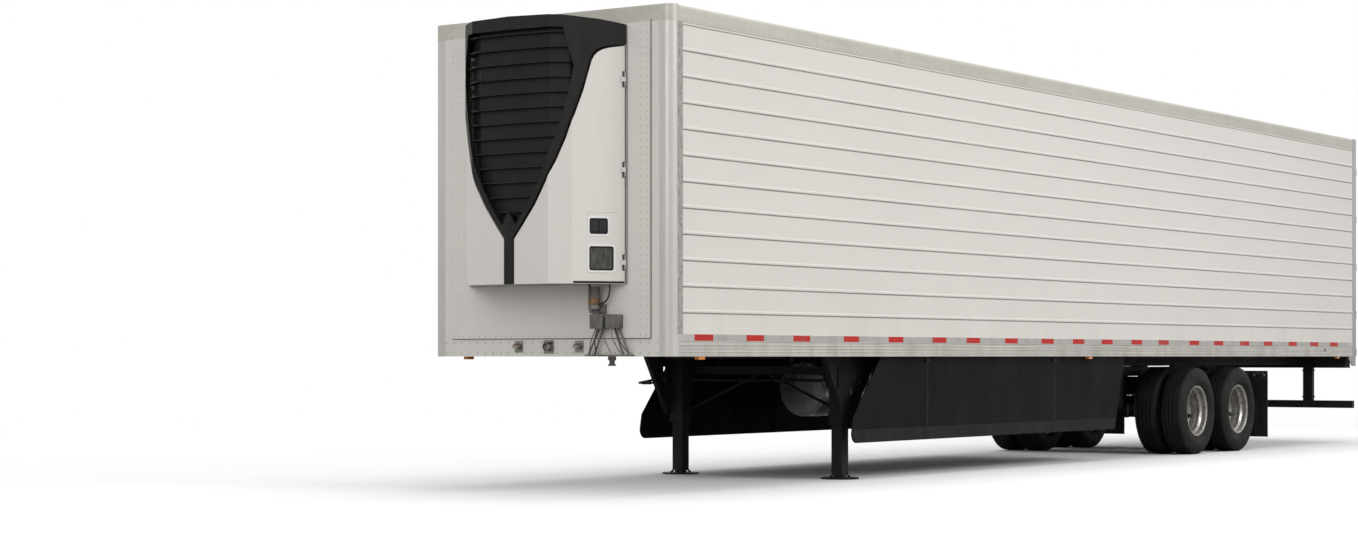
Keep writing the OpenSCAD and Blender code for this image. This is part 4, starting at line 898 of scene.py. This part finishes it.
LEG_LO, LEG_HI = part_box("landing_legs")
LEG_X, LEG_Y = 0.92, (LEG_LO.y + LEG_HI.y) / 2
COLLAR, RIB_R = 0.082, (0.10, 0.052)
WING_X = 1.003
WING_BOLTS = ((-0.36, 1.115), (-0.22, 1.115), (0.10, 1.115), (0.26, 1.115), (0.42, 1.115),
              (-0.05, 0.75), (0.05, 0.75), (0, 0.66))
CRANK_X, CRANK_Y, CRANK_Z = -(HALF_W - 0.06), LEG_Y - 0.255, 0.90

gear = Shape()
for sx in (1, -1):
    for z in (0.515, 0.60):
        gear.box((sx * LEG_X - COLLAR, LEG_Y - COLLAR, z), (sx * LEG_X + COLLAR, LEG_Y + COLLAR, z + 0.012))
    for (x0, y0), (x1, y1) in zip(around(RIB_R[0], 4, 0.5), around(RIB_R[1], 4, 0.5)):
        gear.rod((sx * LEG_X + x0, LEG_Y + y0, 0.013), (sx * LEG_X + x1, LEG_Y + y1, 0.06), 0.010, 8)
gear.piece("leg_collars_and_ribs", CHASSIS, bevel=0.002)
for side, sx in SIDES.items():
    bolts = [(sx * WING_X, LEG_Y + dy, z) for dy, z in WING_BOLTS]
    stamp(f"leg_wing_bolts_{side}", hexagon(0.011, 0.009, 0.015), bolts, (sx, 0, 0), CHASSIS)
grip = Shape()
grip.rod((CRANK_X + 0.03, CRANK_Y, CRANK_Z), (CRANK_X + 0.135, CRANK_Y, CRANK_Z), 0.016, 16)
grip.piece("crank_grip", RUBBER, bevel=0.002)

SKIRT_EDGE = [(3.028, 0.475), (3.028, 0.44), (3.045, 0.40), (3.075, 0.372), (3.115, 0.354), (8.695, 0.354),
              (8.744, 0.475)]
SKIRT_JOINTS_S = (4.44, 7.20)
STRUT_S, STRUT_PITCH = 3.92, 0.7608
for side, sx in SIDES.items():
    face = Face((sx * SKIRT_X, NOSE_Y, 0), (0, 1, 0), (0, 0, 1), (sx, 0, 0))
    strip, clips = Shape(), Shape()
    x0, x1 = mirrored(sx, SKIRT_X, SKIRT_X + 0.012)
    face.slab(strip, SKIRT_EDGE, -0.0005, 0.003)
    for s in SKIRT_JOINTS_S:
        face.slab(strip, [(s, 0.485), (s + 0.03, 0.485), (s + 0.03, 1.155), (s, 1.155)], -0.0005, 0.0015)
        clips.box((x0, behind(s) - 0.03, 1.10), (x1, behind(s) + 0.05, 1.145))
    strip.piece(f"skirt_edge_strip_{side}", RUBBER, bevel=0.0008)
    bolts = [(sx * (SKIRT_X + 0.0028), behind(s), z) for s, z in ((3.35, 0.495), (8.03, 0.42), (8.55, 0.42))]
    bolts += [(sx * SKIRT_X, behind(STRUT_S + STRUT_PITCH * k + 0.0225), z)
              for k in range(7) for z in (0.585, 0.85, 1.08)]
    stamp(f"skirt_bolts_{side}", hexagon(0.009, 0.005, 0.013), bolts, (sx, 0, 0), CHASSIS)
    clips.piece(f"skirt_clips_{side}", CHASSIS, bevel=0.002)

TANK_LO, TANK_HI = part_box("fuel_tank")
tank_r = (TANK_HI.x - TANK_LO.x) / 2 - 0.006
tank_x = (TANK_LO.x + TANK_HI.x) / 2
tank_z = TANK_LO.z + 0.006 + tank_r
lean = Vector((-math.cos(math.radians(52)), 0, math.sin(math.radians(52))))
neck = Vector((tank_x, TANK_LO.y + 0.62, tank_z)) + lean * (tank_r - 0.004)
tank_end = [(0, tank_r * 0.88), (0.006, tank_r * 0.86), (0.010, tank_r * 0.5)]
fill = Shape()
fill.turned(neck, lean, [(0, 0.04), (0.03, 0.04), (0.032, 0.047), (0.052, 0.047), (0.056, 0.040)], 28)
fill.turned((tank_x, TANK_LO.y + 0.001, tank_z), (0, -1, 0), tank_end, 48)
fill.turned((tank_x, TANK_HI.y - 0.001, tank_z), (0, 1, 0), tank_end, 48)
fill.piece("tank_cap_and_ends", TANK)

AIR_LINE_ROUTE = ((1.6, 1.150), (4.0, 1.146), (6.5, 1.150), (8.9, 1.146))
for k, (x, material) in enumerate(((0.10, HOSE_RED), (0.125, HOSE_BLUE), (0.15, HOSE_BLACK))):
    hose(f"frame_air_line_{k}", [(x, behind(s), z) for s, z in AIR_LINE_ROUTE], 0.007, material)
ties = Shape()
for s in spaced(1.8, 8.8, 0.7):
    ties.box((0.085, behind(s), 1.136), (0.165, behind(s) + 0.018, 1.167))
ties.piece("air_line_clips", RUBBER, bevel=0.002)

SLIDE_LO, SLIDE_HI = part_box("slide_rails")
HOLE_RING = [(0, 0.026), (0.003, 0.025), (0.003, 0.019), (0.001, 0.018)]
ring = Shape().turned((0, 0, 0), (0, 0, 1), HOLE_RING, 20)
for side, sx in SIDES.items():
    holes = [(sx * (SLIDE_HI.x - 0.0003), y, (SLIDE_LO.z + SLIDE_HI.z) / 2)
             for y in spaced(SLIDE_LO.y + 0.25, SLIDE_HI.y - 0.25, 0.15)]
    stamp(f"slide_rail_holes_{side}", (ring.verts, ring.faces), holes, (sx, 0, 0), CHASSIS)

# ---- tandem

DAMPER_X, DAMPER_TUBE_L = 0.372, 0.20
damper, u_bolts, seats = Shape(), Shape(), Shape()
for y in AXLES.values():
    for sx in (1, -1):
        foot, head = Vector((sx * DAMPER_X, y - 0.01, TYRE_R + 0.07)), Vector((sx * DAMPER_X, y - 0.30, 0.95))
        way, length = (head - foot).normalized(), (head - foot).length
        damper.turned(foot, way, [(0, 0.030), (DAMPER_TUBE_L, 0.030), (0.205, 0.016), (length, 0.016)], 20)
        damper.turned(foot + way * 0.21, way, [(0, 0.037), (length - 0.24, 0.037)], 20)
        for x in (0.415, 0.505):
            for dy in (-0.078, 0.078):
                u_bolts.rod((sx * x, y + dy, TYRE_R - 0.085), (sx * x, y + dy, TYRE_R + 0.20), 0.0095, 10)
        x0, x1 = mirrored(sx, 0.40, 0.52)
        seats.box((x0, y - 0.10, TYRE_R - 0.082), (x1, y + 0.10, TYRE_R - 0.066))
damper.piece("shock_absorbers", CHASSIS, "tandem")
u_bolts.piece("axle_u_bolts", NUT_STEEL, "tandem")
seats.piece("axle_seat_plates", CHASSIS, "tandem", bevel=0.002)

AIR_LO, AIR_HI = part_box("air_tank")
port_y, port_z = (AIR_LO.y + AIR_HI.y) / 2, AIR_LO.z + 0.120
for end, y in AXLES.items():
    for side, sx in SIDES.items():
        start, stop = Vector((sx * 0.22, port_y, port_z)), Vector((sx * 0.25, y + 0.24, TYRE_R + 0.072))
        drop = start.lerp(stop, 0.5) + Vector((sx * 0.05, 0, 0.06))
        hose(f"brake_hose_{end}_{side}", [start, drop, stop], 0.008, HOSE_BLACK, "tandem")


FLAP_LO, FLAP_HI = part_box("mud_flaps")
flap_y = (FLAP_LO.y + FLAP_HI.y) / 2
ribs, clamps = Shape(), []
for sx in (1, -1):
    outer, inner = FLAP_HI.x - 0.02, FLAP_HI.x - 0.585
    for x in spaced(inner, outer, 0.07):
        for d in (1, -1):
            y0, y1 = sorted((flap_y + d * 0.0038, flap_y + d * 0.0070))
            ribs.box((sx * x - 0.006, y0, FLAP_LO.z + 0.03), (sx * x + 0.006, y1, FLAP_HI.z - 0.10))
    clamps += [(sx * x, flap_y - 0.004, FLAP_HI.z - 0.055) for x in spaced(inner + 0.03, outer - 0.03, 0.13)]
ribs.piece("mud_flap_ribs", RUBBER, "tandem", bevel=0.001)
stamp("mud_flap_bolts", hexagon(0.011, 0.008, 0.020), clamps, (0, -1, 0), NUT_STEEL, "tandem")

# ---- roof and load space

stamp("roof_rivets", dome(0.007, 0.0035, 6),
      [(sx * x, y, TOP_HI.z - 0.0005) for sx in (1, -1) for x in (1.235, 1.262)
       for y in spaced(behind(0.15), WALLS_END_Y - 0.1, 0.2)], (0, 0, 1), RIVET, smooth=True)

SCUFF_H = 0.31
SLAT_PITCH = 0.028
inside = (behind(0.22), WALLS_END_Y - 0.02)
scuff, battens = Shape(), Shape()
for sx in (1, -1):
    x0, x1 = mirrored(sx, WALL_IN + 0.0005, WALL_IN - 0.004)
    scuff.box((x0, inside[0], DECK_Z + 0.002), (x1, inside[1], DECK_Z + SCUFF_H))
    for y in spaced(inside[0] + 0.1, inside[1] - 0.05, 0.41):
        face = Face((sx * WALL_IN, y, 0), (0, 1, 0), (0, 0, 1), (-sx, 0, 0))
        batten = rounded(-0.02, DECK_Z + SCUFF_H + 0.02, 0.02, CEILING_Z - 0.08, 0.004, 2)
        face.slab(battens, batten, -0.0005, 0.006)
scuff.piece("scuff_liners", DECK, bevel=0.001)
battens.piece("wall_battens", LINER, bevel=0.0015)
lamps = Shape()
for s in (3.5, 8.0, 12.5):
    lamps.box((-0.06, behind(s) - 0.3, CEILING_Z - 0.028), (0.06, behind(s) + 0.3, CEILING_Z + 0.001))
lamps.piece("ceiling_lamps", CLEAR_LENS, bevel=0.008)
slats = Shape()
for k in range(5):
    low_z = CEILING_Z - 0.155 + SLAT_PITCH * k
    slats.box((-0.7, behind(0.1), low_z), (0.7, behind(0.118), low_z + 0.010))
slats.piece("evaporator_slats", UNIT_STEEL, bevel=0.001)

# ---- floor, light, camera

FLOOR_REACH = 400
FLOOR_SEEN = ((0.93, 0.955, 0.94), (0.955, 0.97, 0.955))
FLOOR_LIT = (0.30, 0.30, 0.295)
FADE_FROM, FADE_TO = 9, 24
WORLD_STRENGTH = 0.74


def make_floor():
    """A floor that looks near white to the camera, and white far off, but lights the object as grey."""
    mesh = bpy.data.meshes.new("studio_floor")
    r = FLOOR_REACH
    mesh.from_pydata([(-r, -r, 0), (r, -r, 0), (r, r, 0), (-r, r, 0)], [], [(0, 1, 2, 3)])
    ground = Nodes("studio_floor", Roughness=0.9, **{"Specular IOR Level": 0.1})
    seen = ground.add("LightPath").outputs["Is Camera Ray"]
    pale = ground.mix(ground.remap(ground.noise(0.2, 2.0), 0.4, 0.6), *FLOOR_SEEN)
    ground.colour(ground.mix(seen, FLOOR_LIT, pale))
    away = ground.add("VectorMath", {0: ground.stretched((1.6, 1, 0))}, operation="LENGTH")
    fade = ground.math("MULTIPLY", ground.remap(away.outputs["Value"], FADE_FROM, FADE_TO), seen)
    glow = ground.add("Emission").outputs[0]
    blend = ground.add("MixShader", {0: fade, 1: ground.shader.outputs[0], 2: glow})
    ground.put(ground.tree.nodes["Material Output"].inputs["Surface"], blend.outputs[0])
    mesh.materials.append(ground.material)
    obj = bpy.data.objects.new("studio_floor", mesh)
    bpy.context.scene.collection.objects.link(obj)


def make_world():
    """White light from all round, under a backdrop that the camera sees as full white."""
    world = bpy.data.worlds.new("studio")
    world.use_nodes = True
    sky = world.node_tree
    light = sky.nodes["Background"]
    light.inputs["Strength"].default_value = WORLD_STRENGTH
    backdrop = sky.nodes.new("ShaderNodeBackground")
    for node in (light, backdrop):
        node.inputs["Color"].default_value = (1.0, 1.0, 1.0, 1)
    either = sky.nodes.new("ShaderNodeMixShader")
    sky.links.new(sky.nodes.new("ShaderNodeLightPath").outputs["Is Camera Ray"], either.inputs[0])
    sky.links.new(light.outputs[0], either.inputs[1])
    sky.links.new(backdrop.outputs[0], either.inputs[2])
    sky.links.new(either.outputs[0], sky.nodes["World Output"].inputs["Surface"])
    bpy.context.scene.world = world
    bpy.context.scene.view_settings.view_transform = "Standard"


def soft_light(name, place, target, size, power):
    data = bpy.data.lights.new(name, "AREA")
    data.shape = "DISK"
    data.size = size
    data.energy = power
    light = bpy.data.objects.new(name, data)
    light.location = place
    light.rotation_euler = (Vector(target) - Vector(place)).to_track_quat("-Z", "Y").to_euler()
    bpy.context.scene.collection.objects.link(light)

make_floor()
make_world()
soft_light("key", (26, -2, 16), (0, 0, 2), 14, 3050)
soft_light("front", (3, -30, 9), (0, -8, 2.5), 12, 800)
soft_light("fill", (-22, 10, 14), (0, 2, 2), 12, 900)
soft_light("top", (0, 0, 22), (0, 0, 0), 16, 1500)

CAMERA_X, CAMERA_AHEAD, CAMERA_Z = 13.329, 17.109, 1.162
CAMERA_TURN = math.radians(34.96)
camera_data = bpy.data.cameras.new("camera")
camera_data.lens = 66.65
camera_data.sensor_width = 36
camera_data.shift_y = 0.0617
camera_data.clip_end = 500
camera = bpy.data.objects.new("camera", camera_data)
camera.location = (CAMERA_X, NOSE_Y - CAMERA_AHEAD, CAMERA_Z)
camera.rotation_euler = (math.radians(90), 0, CAMERA_TURN)
bpy.context.scene.collection.objects.link(camera)
bpy.context.scene.camera = camera
